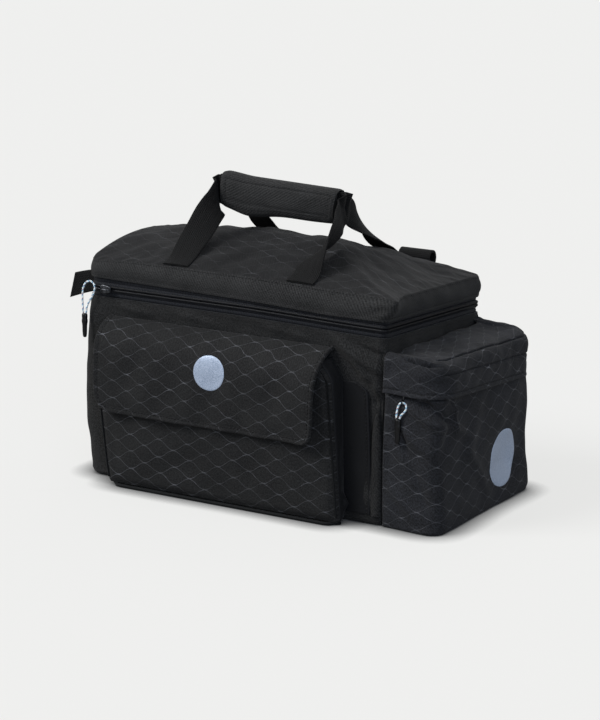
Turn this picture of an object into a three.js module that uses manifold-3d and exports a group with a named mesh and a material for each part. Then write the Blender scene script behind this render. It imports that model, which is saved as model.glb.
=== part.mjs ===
// Bicycle trunk bag, in millimetres. +Z is up, +X points to the end pocket, and -Y is the side
// that carries the first flap pocket. The origin is the middle of the main compartment's base.
import * as THREE from 'three';
import { mergeVertices } from 'three/addons/utils/BufferGeometryUtils.js';
import Module from 'manifold-3d';

const wasm = await Module();
wasm.setup();

// Fit between neighbouring pieces
const clearance = 0.3;

// Main compartment: a padded tub that is open at the top
const main = {
  left: 150, right: 145, width: 171, height: 161, wall: 4, leftRadius: 16, rightRadius: 6,
  baseRadius: 5, endSwell: 10, swellFrom: 0.82, swellFlat: 0.4,
};

// The rim, the zip and the lid droop together towards the corner over the end pocket
const droop = { corner: 10, share: 0.25, lidExtra: 4 };

// Lid: a plain band with a domed top
const lid = {
  edge: 175, tilt: 2.5, seam: 196, cornerFall: 5, arch: 15, archFrom: 0.88, crest: 218,
  endFall: 14, wall: 3, bandSwell: 1.5, seamInset: 2, domePower: 1.5,
};

// Main zip: two tapes and a coil, and the strip of cloth that hinges the lid at the left end
const zip = {
  centre: 168.5, coilWidth: 6, coilThickness: 2.2, tape: 1.4, slot: 2.4, tapeInset: 1.2,
  hinge: 124, hingeWall: 2,
};

// Flap pockets on both long sides
const pocket = {
  left: -121, right: 111, bottom: 2, top: 130, depth: 19, bulge: 5, wall: 2, radius: 14,
  topRadius: 5, edge: 5,
};
const flap = {
  left: -122, right: 98, seam: 147, hem: 68, reach: 29, wall: 2.5, flare: 4, cornerRadius: 11,
  lift: 4,
};
const patch = { top: 120, thickness: 1.2, bottom: 9, roundShare: 0.4, leanShare: 0.35 };
const fold = { width: 8.4, height: 96, proud: 3, inset: 6, bottom: 9 };

// End pocket and the hood that covers its zip
const end = { depth: 50, width: 170, rim: 114, wall: 2, radius: 10, baseRadius: 6, swell: 2 };
const endZip = { centre: 118.5, coilWidth: 5, tape: 1.2, tapeInset: 1.4, coilThickness: 1.6, top: 124 };
const hood = {
  top: 147.5, hem: 112, lift: 1, slant: 5, proud: 4.8, wall: 2, aboveZip: 10.5, round: 17,
  topFall: 3, seamBelow: 4, seamShare: 0.92, shoulderShare: 0.8,
};
hood.shoulder = endZip.centre + hood.aboveZip;

// Carrying handle: two webbing straps held together by a padded grip
const webbing = { width: 25, thickness: 2 };
const grip = {
  left: -62, right: 55, height: 29, depth: 19, centre: 250, slope: 4, radius: 8, slot: 2, turn: 6,
};
const handle = { leftBase: -60, rightBase: 62, leftBackBase: -60, rightBackBase: 57, inset: 12, seam: 4 };

// Small webbing pieces
const tab = { length: 28, width: 19, thickness: 3.4, inset: 15.5, top: 180, fall: 5 };
const loop = { x: 78, width: 29, diameter: 13, wall: 2, aboveSeam: 0, tail: 15 };

// Pulls: a thin cord loop through the eye of each slider, with a moulded end
const cord = { diameter: 1.6, sides: 8 };
const slider = { length: 11, width: 9, thickness: 2.6, x: -128, eyeReach: 11.5, eyeDrop: 0, eyeOut: 0 };
const endSlider = {
  length: 9, width: 6, thickness: 1.2, x: 163, eyeReach: 0, eyeDrop: 9.5, eyeOut: 1.6,
};
const eye = { inner: 1.3, wire: 0.5, sides: 16, wireSides: 6 };
const pullEnd = { length: 21, width: 5.6, thickness: 4.4 };

const half = { width: main.width / 2 };

// The two cord routes, chosen by hand: x, the distance out from the side that carries the zip,
// and z. Each starts and ends at the top of its moulded end.
const outFrom = (side, route) => route.map(([x, out, z]) => [x, -(side + out), z]);
const mainPullRoute = outFrom(half.width, [
  [-150.2, 5.1, 145.4], [-150.5, 5.1, 150], [-150.9, 5.0, 156], [-151.0, 4.9, 162],
  [-150.2, 4.7, 168], [-147.6, 4.1, 172.6], [-143.6, 3.4, 174.0], [-140.5, 3.0, 172.0],
  [-139.5, 2.9, 168.5], [-140.1, 3.0, 164.8], [-142.0, 3.4, 160.6], [-144.6, 4.1, 156],
  [-146.5, 4.8, 151], [-147.2, 5.1, 145.4],
]);
const endPullRoute = outFrom(end.width / 2, [
  [157.9, 3.7, 95.4], [158.0, 3.65, 98.5], [158.3, 3.5, 101.8], [159.1, 3.2, 105.2],
  [160.7, 3.0, 108.0], [163.0, 2.9, 109.0], [165.4, 3.0, 108.0], [166.5, 3.2, 105.6],
  [165.8, 3.4, 102.8], [163.8, 3.5, 100.2], [161.8, 3.6, 98.0], [160.9, 3.7, 95.4],
]);

// Colours
const colours = {
  ripstop: [0x17181b, 0.72, 0], twill: [0x151517, 0.85, 0], smooth: [0x15171d, 0.6, 0],
  web: [0x141414, 0.8, 0], zipper: [0x0f1116, 0.5, 0], metal: [0x55585c, 0.35, 1],
  cord: [0xa9c3cf, 0.7, 0], moulded: [0x0b0b0c, 0.25, 0],
};

// Geometry helpers

function smoothStep(low, high, value) {
  const t = Math.min(1, Math.max(0, (value - low) / (high - low)));
  return t * t * (3 - 2 * t);
}

const lerp = THREE.MathUtils.lerp;

// A closed body from points and triangles, turned so that its faces point out
function closedBody(points, faces) {
  const six = new THREE.Vector3();
  let volume = 0;
  for (const [a, b, c] of faces) {
    volume += points[a].dot(six.crossVectors(points[b], points[c]));
  }
  const turned = volume < 0 ? faces.map(([a, b, c]) => [a, c, b]) : faces;
  const geometry = new THREE.BufferGeometry().setFromPoints(points);
  geometry.setIndex(turned.flat());
  return geometry;
}

// A body lofted through rings that hold the same number of points, with a fan over each end.
// A band that twists is even when its two faces are split along the same diagonals.
function loftRings(rings, isBand = false) {
  const count = rings[0].length;
  const points = rings.flat();
  const faces = [];
  for (let ring = 0; ring + 1 < rings.length; ring += 1) {
    for (let i = 0; i < count; i += 1) {
      const next = (i + 1) % count;
      const [a, b] = [ring * count + i, ring * count + next];
      if (isBand && i >= count / 2) {
        faces.push([a, b, a + count], [b, b + count, a + count]);
      } else {
        faces.push([a, b, b + count], [a, b + count, a + count]);
      }
    }
  }
  for (const [ring, flip] of [[0, true], [rings.length - 1, false]]) {
    const middle = new THREE.Vector3();
    rings[ring].forEach((point) => middle.addScaledVector(point, 1 / count));
    points.push(middle);
    const hub = points.length - 1;
    for (let i = 0; i < count; i += 1) {
      const [a, b] = [ring * count + i, ring * count + ((i + 1) % count)];
      faces.push(flip ? [hub, b, a] : [hub, a, b]);
    }
  }
  return closedBody(points, faces);
}

// A sheet with thickness: two grids of the same size, joined round their edges
function sheetBody(outer, inner) {
  const rows = outer.length;
  const columns = outer[0].length;
  const points = [...outer.flat(), ...inner.flat()];
  const back = rows * columns;
  const faces = [];
  const quad = (a, b, c, d) => faces.push([a, b, c], [a, c, d]);
  for (let row = 0; row + 1 < rows; row += 1) {
    for (let column = 0; column + 1 < columns; column += 1) {
      const a = row * columns + column;
      quad(a, a + 1, a + columns + 1, a + columns);
      quad(back + a, back + a + columns, back + a + columns + 1, back + a + 1);
    }
    for (const [a, flip] of [[row * columns, false], [(row + 1) * columns - 1, true]]) {
      const edge = [a, a + columns, a + columns + back, a + back];
      quad(...(flip ? edge.reverse() : edge));
    }
  }
  for (let column = 0; column + 1 < columns; column += 1) {
    for (const [a, flip] of [[column, true], [(rows - 1) * columns + column, false]]) {
      const edge = [a, a + 1, a + 1 + back, a + back];
      quad(...(flip ? edge.reverse() : edge));
    }
  }
  return closedBody(points, faces);
}

// An outline of straight sides and round corners, anticlockwise from the low left corner.
// radii and sides follow the corners low left, low right, high right and high left, and the
// sides low, right, high and left. sides holds the shares at which a side has points.
function roundedOutline(box, radii, sides, arcSteps = 4) {
  const corners = [
    [box.left, box.low, 1, 1, Math.PI], [box.right, box.low, -1, 1, 1.5 * Math.PI],
    [box.right, box.high, -1, -1, 0], [box.left, box.high, 1, -1, 0.5 * Math.PI],
  ];
  const arcs = corners.map(([x, y, sx, sy, start], k) => {
    const radius = Math.max(radii[k], 0.4);
    return Array.from({ length: arcSteps + 1 }, (_, i) => {
      const angle = start + (i / arcSteps) * 0.5 * Math.PI;
      const [nx, ny] = [Math.cos(angle), Math.sin(angle)];
      const [cx, cy] = [x + sx * radius, y + sy * radius];
      return { x: cx + radius * nx, y: cy + radius * ny, nx, ny };
    });
  });
  return arcs.flatMap((arc, k) => {
    const [from, to] = [arc[arcSteps], arcs[(k + 1) % 4][0]];
    const side = sides[k].map((share) => ({
      x: lerp(from.x, to.x, share), y: lerp(from.y, to.y, share), nx: from.nx, ny: from.ny,
    }));
    return [...arc, ...side];
  });
}

const evenShares = (count) => Array.from({ length: count }, (_, i) => (i + 1) / (count + 1));

function toSolid(geometry) {
  const bare = geometry.clone();
  bare.deleteAttribute('normal');
  bare.deleteAttribute('uv');
  const merged = mergeVertices(bare, 1e-4);
  return new wasm.Manifold(new wasm.Mesh({
    numProp: 3,
    vertProperties: new Float32Array(merged.attributes.position.array),
    triVerts: new Uint32Array(merged.index.array),
  }));
}

function fromSolid(solid) {
  const mesh = solid.getMesh();
  const geometry = new THREE.BufferGeometry();
  geometry.setAttribute('position', new THREE.BufferAttribute(mesh.vertProperties, 3));
  geometry.setIndex(new THREE.BufferAttribute(mesh.triVerts, 1));
  return geometry;
}

const cutAway = (body, tool) => fromSolid(toSolid(body).subtract(toSolid(tool)));

const joined = (bodies) => fromSolid(bodies.map(toSolid).reduce((all, next) => all.add(next)));

const bag = new THREE.Group();

function addPiece(name, geometry, finish) {
  const [color, roughness, metalness] = colours[finish];
  geometry.computeVertexNormals();
  const mesh = new THREE.Mesh(
    geometry, new THREE.MeshStandardMaterial({ color, roughness, metalness }));
  mesh.name = name;
  bag.add(mesh);
  return mesh;
}

// Plan of the main compartment

const leftStraight = main.width - 2 * main.leftRadius;
const hingeShares = [-0.5, -0.25, 0, 0.25, 0.5].map((share) => 0.5 + share * zip.hinge / leftStraight);
const planSides = [evenShares(11), evenShares(4), evenShares(11), hingeShares];

function mainOutline(inset) {
  const box = {
    left: -main.left + inset, right: main.right - inset,
    low: -half.width + inset, high: half.width - inset,
  };
  const radii = [main.leftRadius, main.rightRadius, main.rightRadius, main.leftRadius];
  return roundedOutline(box, radii.map((radius) => radius - inset), planSides);
}

// Places along the compartment as shares: -1 is its left end and 1 its right end
const shareAlong = (x) => x / (x < 0 ? main.left : main.right);

const plan = mainOutline(0).map((point) => (
  { ...point, u: shareAlong(point.x), v: point.y / half.width }));

// One ring round the main compartment, inset from its outline, at a height from (u, v)
function mainRing(inset, height) {
  return mainOutline(inset).map((point, i) => (
    new THREE.Vector3(point.x, point.y, height(plan[i].u, plan[i].v))));
}

const drop = (u, v) => (
  droop.corner * smoothStep(0, 1, u) * (droop.share + (1 - droop.share) * 0.5 * (1 + v)));
const rimHeight = (u, v) => main.height - drop(u, v);
const zipHeight = (u, v) => zip.centre - drop(u, v);
const lidEdge = (u, v) => lid.edge - lid.tilt * u - drop(u, v);
const lidSeam = (u, v) => (
  lid.seam + v - lid.cornerFall * u ** 6 - drop(u, v)
  - droop.lidExtra * Math.max(0, u) ** 3 * 0.5 * (1 + v)
  + lid.arch * smoothStep(-lid.archFrom, -1, u) * (1 - v * v));
const lidCrest = (u) => lid.crest - lid.endFall * Math.max(0, u) ** 3;
const domeRise = (inset) => 1 - (1 - (inset - lid.seamInset) / half.width) ** lid.domePower;

// Main body: the base and walls of the compartment, hollow and open at the top

const baseTurns = [0, 30, 60, 90].map(THREE.MathUtils.degToRad);

function swollen(ring, z) {
  const swell = main.endSwell * Math.sin(Math.PI * Math.min(1, z / main.height));
  return ring.map((point) => {
    const atLeft = smoothStep(main.swellFrom, 1, -shareAlong(point.x));
    const share = atLeft * (1 - main.swellFlat * (point.y / half.width) ** 2);
    return new THREE.Vector3(point.x - swell * share, point.y, point.z);
  });
}

function bodyWall(inset, z) {
  return swollen(mainRing(inset, () => z), z);
}

const innerRadius = main.baseRadius - main.wall;
addPiece('main_body', loftRings([
  ...baseTurns.map((turn) => (
    mainRing(main.baseRadius * (1 - Math.sin(turn)), () => main.baseRadius * (1 - Math.cos(turn))))),
  ...[0.22, 0.5, 0.78].map((share) => bodyWall(0, share * main.height)),
  mainRing(0, rimHeight),
  mainRing(main.wall, rimHeight),
  ...[0.78, 0.5, 0.22].map((share) => bodyWall(main.wall, share * main.height)),
  ...[...baseTurns].reverse().map((turn) => mainRing(
    main.wall + innerRadius * (1 - Math.sin(turn)),
    () => main.wall + innerRadius * (1 - Math.cos(turn)))),
]), 'twill');

// Lid

function domeRing(inset, thickness) {
  return mainOutline(inset).map((point, i) => {
    const seam = lidSeam(plan[i].u, plan[i].v);
    const crest = lidCrest(shareAlong(point.x));
    return new THREE.Vector3(point.x, point.y, lerp(seam, crest, domeRise(inset)) - thickness);
  });
}

const domeInsets = [0.1, 0.24, 0.42, 0.66, 0.9].map((share) => share * half.width);
const bandMiddle = (u, v) => 0.5 * (lidEdge(u, v) + lidSeam(u, v));
addPiece('lid', loftRings([
  ...[...domeInsets].reverse().map((inset) => domeRing(inset, lid.wall)),
  mainRing(lid.seamInset + lid.wall, (u, v) => lidSeam(u, v) - lid.wall),
  mainRing(lid.wall - lid.bandSwell, bandMiddle),
  mainRing(lid.wall, lidEdge),
  mainRing(0, lidEdge),
  mainRing(-lid.bandSwell, bandMiddle),
  mainRing(lid.seamInset, lidSeam),
  ...domeInsets.map((inset) => domeRing(inset, 0)),
]), 'ripstop');

// Strips that run round the compartment between the rim and the lid

const hingeCount = hingeShares.length;
const zipIndices = [plan.length - 1, ...Array(plan.length - hingeCount + 1).keys()];
const hingeIndices = Array.from({ length: hingeCount }, (_, i) => plan.length - hingeCount + i);

// A strip of the ring: low and high are heights from (u, v), outer and inner are insets
function ringStrip(indices, outerInset, innerInset, low, high, trim) {
  const [outer, inner] = [mainOutline(outerInset), mainOutline(innerInset)];
  return loftRings(indices.map((i, place) => {
    const { u, v } = plan[i];
    const atEnd = place === 0 || place === indices.length - 1;
    const shift = atEnd ? trim * Math.sign(plan[i].y) : 0;
    const at = (point, z) => new THREE.Vector3(point.x, point.y + shift, z);
    return [
      at(outer[i], low(u, v)), at(outer[i], high(u, v)),
      at(inner[i], high(u, v)), at(inner[i], low(u, v)),
    ];
  }));
}

const tapeInner = zip.tapeInset + zip.tape;
addPiece('zip_tape_lower', ringStrip(
  zipIndices, zip.tapeInset, tapeInner,
  (u, v) => rimHeight(u, v) + clearance, (u, v) => zipHeight(u, v) - zip.slot / 2, clearance), 'zipper');
addPiece('zip_tape_upper', ringStrip(
  zipIndices, zip.tapeInset, tapeInner,
  (u, v) => zipHeight(u, v) + zip.slot / 2, (u, v) => lidEdge(u, v) - clearance, clearance), 'zipper');
const coilInset = zip.tapeInset - clearance;
addPiece('zip_coil', ringStrip(
  zipIndices, coilInset - zip.coilThickness, coilInset,
  (u, v) => zipHeight(u, v) - zip.coilWidth / 2, (u, v) => zipHeight(u, v) + zip.coilWidth / 2,
  clearance), 'zipper');
addPiece('lid_hinge', ringStrip(
  hingeIndices, zip.tapeInset, zip.tapeInset + zip.hingeWall,
  (u, v) => rimHeight(u, v) + clearance, (u, v) => lidEdge(u, v) - clearance, 0), 'twill');

// Flap pockets. side is -1 on the near long side and 1 on the far one.

const faceY = half.width + clearance;

// A form that stands on the long side: an outline in x and z, carried outwards and rounded
function pocketForm(box, inset, depth, start) {
  const radii = [pocket.radius, pocket.radius, pocket.topRadius, pocket.topRadius];
  const sides = [evenShares(7), evenShares(4), evenShares(7), evenShares(4)];
  const ring = (shrink, out) => {
    const shape = {
      left: box.left + shrink, right: box.right - shrink, low: box.low + shrink, high: box.high - shrink,
    };
    return roundedOutline(shape, radii.map((radius) => radius - inset - shrink), sides)
      .map((point) => new THREE.Vector3(point.x, -(faceY + out), point.y));
  };
  const edge = pocket.edge - inset;
  const bulges = [0.12, 0.3, 0.5, 0.75].map((share) => (
    [share * (box.high - box.low) / 2, depth + pocket.bulge * (1 - (1 - share) ** 2.2)]));
  return loftRings([
    ring(0, start), ring(0, depth - edge),
    ring(edge * 0.3, depth - edge * 0.3), ring(edge, depth),
    ...bulges.map(([shrink, out]) => ring(edge + shrink * 0.9, out)),
  ]);
}

function flapPocket(side) {
  const box = { left: pocket.left, right: pocket.right, low: pocket.bottom, high: pocket.top };
  const room = {
    left: box.left + pocket.wall, right: box.right - pocket.wall,
    low: box.low + pocket.wall, high: box.high + pocket.depth + pocket.bulge,
  };
  const outer = pocketForm(box, 0, pocket.depth, 0);
  const inner = pocketForm(room, pocket.wall, pocket.depth - pocket.wall, -pocket.wall);
  const shell = cutAway(outer, inner);
  return side < 0 ? shell : mirrored(shell);
}

// The far side is the near one reflected across the bag's middle plane
function mirrored(geometry) {
  const copy = geometry.clone().scale(1, -1, 1);
  const order = copy.index.array;
  for (let i = 0; i < order.length; i += 3) {
    [order[i + 1], order[i + 2]] = [order[i + 2], order[i + 1]];
  }
  return copy;
}

// Side view of a flap: how far it stands out, at shares of its drop from seam to hem
const flapProfile = [
  { drop: 0, out: 0 },
  { drop: 0.04, out: 0.36 },
  { drop: 0.11, out: 0.66 },
  { drop: 0.2, out: 0.87 },
  { drop: 0.32, out: 0.97 },
  { drop: 0.5, out: 1 },
  { drop: 0.75, out: 1 },
  { drop: 1, out: 0.98 },
];

function flapBody() {
  const columns = Array.from({ length: 13 }, (_, i) => i / 12);
  const height = flap.seam - flap.hem;
  const rows = [...flapProfile.slice(0, -1), { drop: 0.9, out: 0.99 }, flapProfile.at(-1)];
  const outline = rows.map(({ drop: fall, out }, row) => {
    const before = rows[Math.max(0, row - 1)];
    const after = rows[Math.min(rows.length - 1, row + 1)];
    const along = new THREE.Vector2(
      (after.out - before.out) * flap.reach, (after.drop - before.drop) * height).normalize();
    return { fall, out, ny: along.y, nz: along.x };
  });
  const grid = (thickness) => outline.map(({ fall, out, ny, nz }) => columns.map((column) => {
    const cut = flap.cornerRadius * smoothStep(1 - flap.cornerRadius / height, 1, fall) ** 2;
    const left = flap.left + flap.flare * fall + cut * 0.6;
    const right = flap.right - flap.flare * fall - cut * 0.6;
    const x = lerp(left, right, column);
    const lifted = flap.lift * smoothStep(0.8, 1, column) * smoothStep(0.1, 0.4, fall);
    const y = faceY + out * flap.reach + lifted - thickness * ny;
    return new THREE.Vector3(x, -Math.max(faceY, y), flap.seam - fall * height - thickness * nz);
  }));
  return sheetBody(grid(0), grid(flap.wall));
}

// A flat patch of smooth cloth between the pocket and the end of the long side
function patchBody(end) {
  const low = end < 0 ? pocket.left - clearance : pocket.right + clearance;
  const limit = end < 0
    ? main.left - main.leftRadius : main.right - fold.inset - fold.width / 2 - clearance;
  const width = limit - end * low;
  const rows = [0, 0.25, 0.5, 0.75, 0.88, 0.95, 1];
  const grid = (out) => rows.map((share) => {
    const z = lerp(patch.bottom, patch.top, share);
    const corner = patch.roundShare * (1 - Math.sqrt(1 - smoothStep(0.86, 1, share) ** 2 * 0.96));
    const high = low + end * width * (1 - patch.leanShare * share ** 3 - corner);
    return [low, high].map((x) => new THREE.Vector3(x, -(faceY + out), z));
  });
  return sheetBody(grid(patch.thickness), grid(0));
}

// A tube-like upright fold of cloth beside the corner at the end pocket
function cornerFold() {
  const middle = main.right - fold.inset;
  const levels = [0, 0.08, 0.3, 0.6, 0.85, 1];
  return loftRings(levels.map((share) => {
    const size = Math.sqrt(Math.max(0.06, 1 - (2 * Math.max(0, share - 0.5)) ** 3));
    return Array.from({ length: 8 }, (_, i) => {
      const angle = (i / 7) * Math.PI;
      const x = middle - 0.5 * fold.width * size * Math.cos(angle);
      const out = fold.proud * size * Math.sin(angle);
      return new THREE.Vector3(x, -(faceY + out), lerp(fold.bottom, fold.height, share));
    });
  }));
}

for (const [name, side] of [['front', -1], ['back', 1]]) {
  const place = (geometry) => (side < 0 ? geometry : mirrored(geometry));
  addPiece(`${name}_pocket`, flapPocket(side), 'ripstop');
  addPiece(`${name}_flap`, place(flapBody()), 'ripstop');
  addPiece(`${name}_patch_left`, place(patchBody(-1)), 'smooth');
  addPiece(`${name}_patch_right`, place(patchBody(1)), 'smooth');
  addPiece(`${name}_corner_fold`, place(cornerFold()), 'twill');
}

// End pocket

const endBack = main.right + clearance;
const endSides = [evenShares(3), evenShares(8), evenShares(3), []];

function endOutline(inset, back) {
  const box = {
    left: back, right: main.right + end.depth - inset,
    low: -end.width / 2 + inset, high: end.width / 2 - inset,
  };
  return roundedOutline(box, [0.5, end.radius - inset, end.radius - inset, 0.5], endSides);
}

function endRing(inset, back, height) {
  return endOutline(inset, back).map((point) => (
    new THREE.Vector3(point.x, point.y, height(point.x, point.y))));
}

function endForm(inset, back, floor, top) {
  const radius = end.baseRadius - inset;
  return loftRings([
    ...baseTurns.map((turn) => endRing(
      inset + radius * (1 - Math.sin(turn)), back, () => floor + radius * (1 - Math.cos(turn)))),
    endRing(inset - end.swell, back, () => end.rim / 2),
    endRing(inset, back, () => top),
  ]);
}

addPiece('end_pocket', cutAway(
  endForm(0, endBack, 0, end.rim),
  endForm(end.wall, endBack - end.wall, end.wall, end.rim + end.wall)), 'ripstop');

const outwards = (x) => (x - main.right) / end.depth;
const hemHeight = (x, y) => (
  hood.hem + Math.max(0, outwards(x)) * (hood.lift - hood.slant * 2 * y / end.width));
const hoodFall = (x) => hood.topFall * Math.max(0, outwards(x));

function hoodForm(inset, back, low) {
  const radius = hood.round;
  const rise = hood.top - hood.shoulder;
  return loftRings([
    endRing(inset - hood.proud, back, low),
    endRing(inset - hood.proud * hood.seamShare, back, () => hood.shoulder - hood.seamBelow),
    ...baseTurns.map((turn) => endRing(
      inset - hood.proud * hood.shoulderShare + radius * (1 - Math.cos(turn)), back,
      (x) => hood.shoulder + (rise - inset) * Math.sin(turn) - hoodFall(x) * Math.sin(turn))),
  ]);
}

addPiece('end_pocket_hood', cutAway(
  hoodForm(0, endBack, hemHeight),
  hoodForm(hood.wall, endBack - hood.wall, () => hood.hem - 2 * hood.slant)), 'ripstop');

// A strip along the three free sides of the end pocket
function endStrip(outerInset, innerInset, low, high) {
  const [outer, inner] = [endOutline(outerInset, endBack), endOutline(innerInset, endBack)];
  const cornerSteps = 4;
  const last = outer.length - cornerSteps - 1;
  return loftRings(Array.from({ length: last - cornerSteps + 1 }, (_, k) => k + cornerSteps).map((i) => [
    new THREE.Vector3(outer[i].x, outer[i].y, low), new THREE.Vector3(outer[i].x, outer[i].y, high),
    new THREE.Vector3(inner[i].x, inner[i].y, high), new THREE.Vector3(inner[i].x, inner[i].y, low),
  ]));
}

const endCoilInset = endZip.tapeInset - clearance;
addPiece('end_zip_tape', endStrip(
  endZip.tapeInset, endZip.tapeInset + endZip.tape, end.rim + clearance, endZip.top), 'zipper');
addPiece('end_zip_coil', endStrip(
  endCoilInset - endZip.coilThickness, endCoilInset,
  endZip.centre - endZip.coilWidth / 2, endZip.centre + endZip.coilWidth / 2), 'zipper');

// Handle straps. A leg lies on the lid at its foot, then rises to the end of the grip and turns
// edge up. rise is its bulge above the straight line as a share of its height, the turns are its
// twist in degrees, and left and right its bow along the bag as shares of the webbing's width.
const frontLegTable = [
  { run: 0.16, rise: 0.05, leftTurn: 12, rightTurn: 14, left: 0.1, right: 0.02 },
  { run: 0.34, rise: 0.08, leftTurn: 28, rightTurn: 30, left: 0.2, right: 0.14 },
  { run: 0.56, rise: 0.09, leftTurn: 42, rightTurn: 46, left: 0.24, right: 0.24 },
  { run: 0.76, rise: 0.05, leftTurn: 60, rightTurn: 64, left: 0.24, right: 0.16 },
  { run: 0.92, rise: 0, leftTurn: 82, rightTurn: 82, left: 0.06, right: 0.02 },
  { run: 1, rise: 0, leftTurn: 90, rightTurn: 90, left: 0, right: 0 },
];
const backLegTable = [
  { run: 0.1, rise: -0.02, leftTurn: 4, rightTurn: 4, left: 0.04, right: 0 },
  { run: 0.22, rise: -0.04, leftTurn: 8, rightTurn: 10, left: 0.08, right: 0 },
  { run: 0.38, rise: -0.05, leftTurn: 18, rightTurn: 24, left: 0.16, right: 0.06 },
  { run: 0.56, rise: -0.05, leftTurn: 36, rightTurn: 44, left: 0.18, right: 0.08 },
  { run: 0.76, rise: -0.04, leftTurn: 60, rightTurn: 66, left: 0.12, right: 0.06 },
  { run: 0.92, rise: -0.02, leftTurn: 82, rightTurn: 84, left: 0.04, right: 0 },
  { run: 1, rise: 0, leftTurn: 90, rightTurn: 90, left: 0, right: 0 },
];

const gripCentre = (x) => grip.centre - grip.slope * (x - grip.left) / (grip.right - grip.left);

// A point on the lid's top beside one long side, a little above the cloth
function onLid(x, side, inset, above) {
  const z = lerp(lidSeam(shareAlong(x), side), lidCrest(shareAlong(x)), domeRise(inset));
  return new THREE.Vector3(x, side * (half.width - inset), z + above);
}

function strapBody(side, leftBase, rightBase) {
  const lane = side * (webbing.thickness / 2 + grip.slot / 2);
  const above = webbing.thickness / 2 + 2 * clearance;
  const ends = [[leftBase, grip.left - grip.turn, 1], [rightBase, grip.right + grip.turn, -1]];
  const legs = ends.map(([baseX, topX, hand]) => {
    const head = new THREE.Vector3(topX, lane, gripCentre(topX));
    const twist = side < 0 ? hand : 1;
    const lying = [handle.seam, handle.inset].map((inset) => {
      const edges = [1, -1].map((way) => onLid(baseX + way * webbing.width / 2, side, inset, above));
      const middle = edges[0].clone().lerp(edges[1], 0.5);
      const at = onLid(baseX, side, inset, above);
      at.z = Math.max(at.z, middle.z);
      return { at, wide: edges[0].sub(edges[1]).normalize(), twist };
    });
    const foot = lying[1].at;
    return [...lying, ...(side < 0 ? frontLegTable : backLegTable).map((row) => {
      const { run, rise } = row;
      const [bow, turn] = hand > 0 ? [row.left, row.leftTurn] : [row.right, row.rightTurn];
      const at = foot.clone().lerp(head, run);
      at.x += webbing.width * bow;
      at.z += rise * (head.z - foot.z);
      const angle = THREE.MathUtils.degToRad(turn);
      const wide = new THREE.Vector3(Math.cos(angle), 0, -twist * Math.sin(angle));
      return { at, wide, twist, level: run === 1 };
    })];
  });
  const middle = [0, 0.33, 0.67, 1].map((share) => {
    const x = lerp(grip.left, grip.right, share);
    const at = new THREE.Vector3(x, lane, gripCentre(x));
    return { at, wide: new THREE.Vector3(0, 0, -1), level: true };
  });
  const route = [...legs[0], ...middle, ...legs[1].reverse().map((step) => (
    { ...step, wide: step.wide.clone().multiplyScalar(step.twist) }))];
  const centres = route.map((step) => step.at);
  return loftRings(route.map((step, i) => {
    const along = centres[Math.min(i + 1, route.length - 1)].clone().sub(centres[Math.max(0, i - 1)]);
    if (step.level) along.z = 0;
    along.normalize();
    const wide = step.wide.clone().addScaledVector(along, -step.wide.dot(along)).normalize();
    const thick = along.clone().cross(wide).normalize();
    return [[-1, -1], [1, -1], [1, 1], [-1, 1]].map(([w, t]) => step.at.clone()
      .addScaledVector(wide, w * webbing.width / 2).addScaledVector(thick, t * webbing.thickness / 2));
  }), true);
}

addPiece('handle_strap_front', strapBody(-1, handle.leftBase, handle.rightBase), 'web');
addPiece('handle_strap_back', strapBody(1, handle.leftBackBase, handle.rightBackBase), 'web');

// Grip: a padded sleeve with a slot for both straps
function gripForm(depth, height, radius, over) {
  const stations = [grip.left - over, grip.left * 0.4, grip.right * 0.4, grip.right + over];
  return loftRings(stations.map((x) => {
    const box = { left: -depth / 2, right: depth / 2, low: -height / 2, high: height / 2 };
    return roundedOutline(box, [radius, radius, radius, radius], [[], [], [], []], 3)
      .map((point) => new THREE.Vector3(x, point.x, gripCentre(x) + point.y));
  }));
}

const slotDepth = 2 * webbing.thickness + grip.slot + 2 * clearance;
const slotHeight = webbing.width + 2 * clearance;
addPiece('handle_grip', cutAway(
  gripForm(grip.depth, grip.height, grip.radius, 0),
  gripForm(slotDepth, slotHeight, 0.5, 1)), 'twill');

// Tab at the left end of the zip, and the loop on the lid's far side

function tabBody() {
  const start = -main.left - lid.bandSwell - clearance;
  const rows = [0, 0.35, 0.7, 1];
  const grid = (out) => rows.map((share) => [0, 1].map((side) => new THREE.Vector3(
    start - share * tab.length, tab.inset - half.width + out,
    tab.top - tab.width * (1 - side) - tab.fall * share ** 1.3)));
  return sheetBody(grid(tab.thickness), grid(0));
}

addPiece('zip_end_tab', tabBody(), 'web');

function loopBody() {
  const outerRadius = loop.diameter / 2;
  const ring = new THREE.Shape();
  ring.absarc(0, 0, outerRadius, 0, 2 * Math.PI);
  const hole = new THREE.Path();
  hole.absarc(0, 0, outerRadius - loop.wall, 0, 2 * Math.PI);
  ring.holes.push(hole);
  const tube = new THREE.ExtrudeGeometry(
    ring, { depth: loop.width, bevelEnabled: false, curveSegments: 10 });
  tube.rotateY(Math.PI / 2).translate(-loop.width / 2, 0, 0);
  const tail = new THREE.BoxGeometry(loop.width, loop.wall, loop.tail)
    .translate(0, loop.wall / 2 - outerRadius, -loop.tail / 2);
  const y = half.width + lid.bandSwell + clearance + outerRadius;
  const z = lid.seam + loop.aboveSeam - drop(shareAlong(loop.x), 1);
  return joined([tube, tail]).translate(loop.x, y, z);
}

addPiece('rear_loop', loopBody(), 'web');

// Sliders and their pulls

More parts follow.
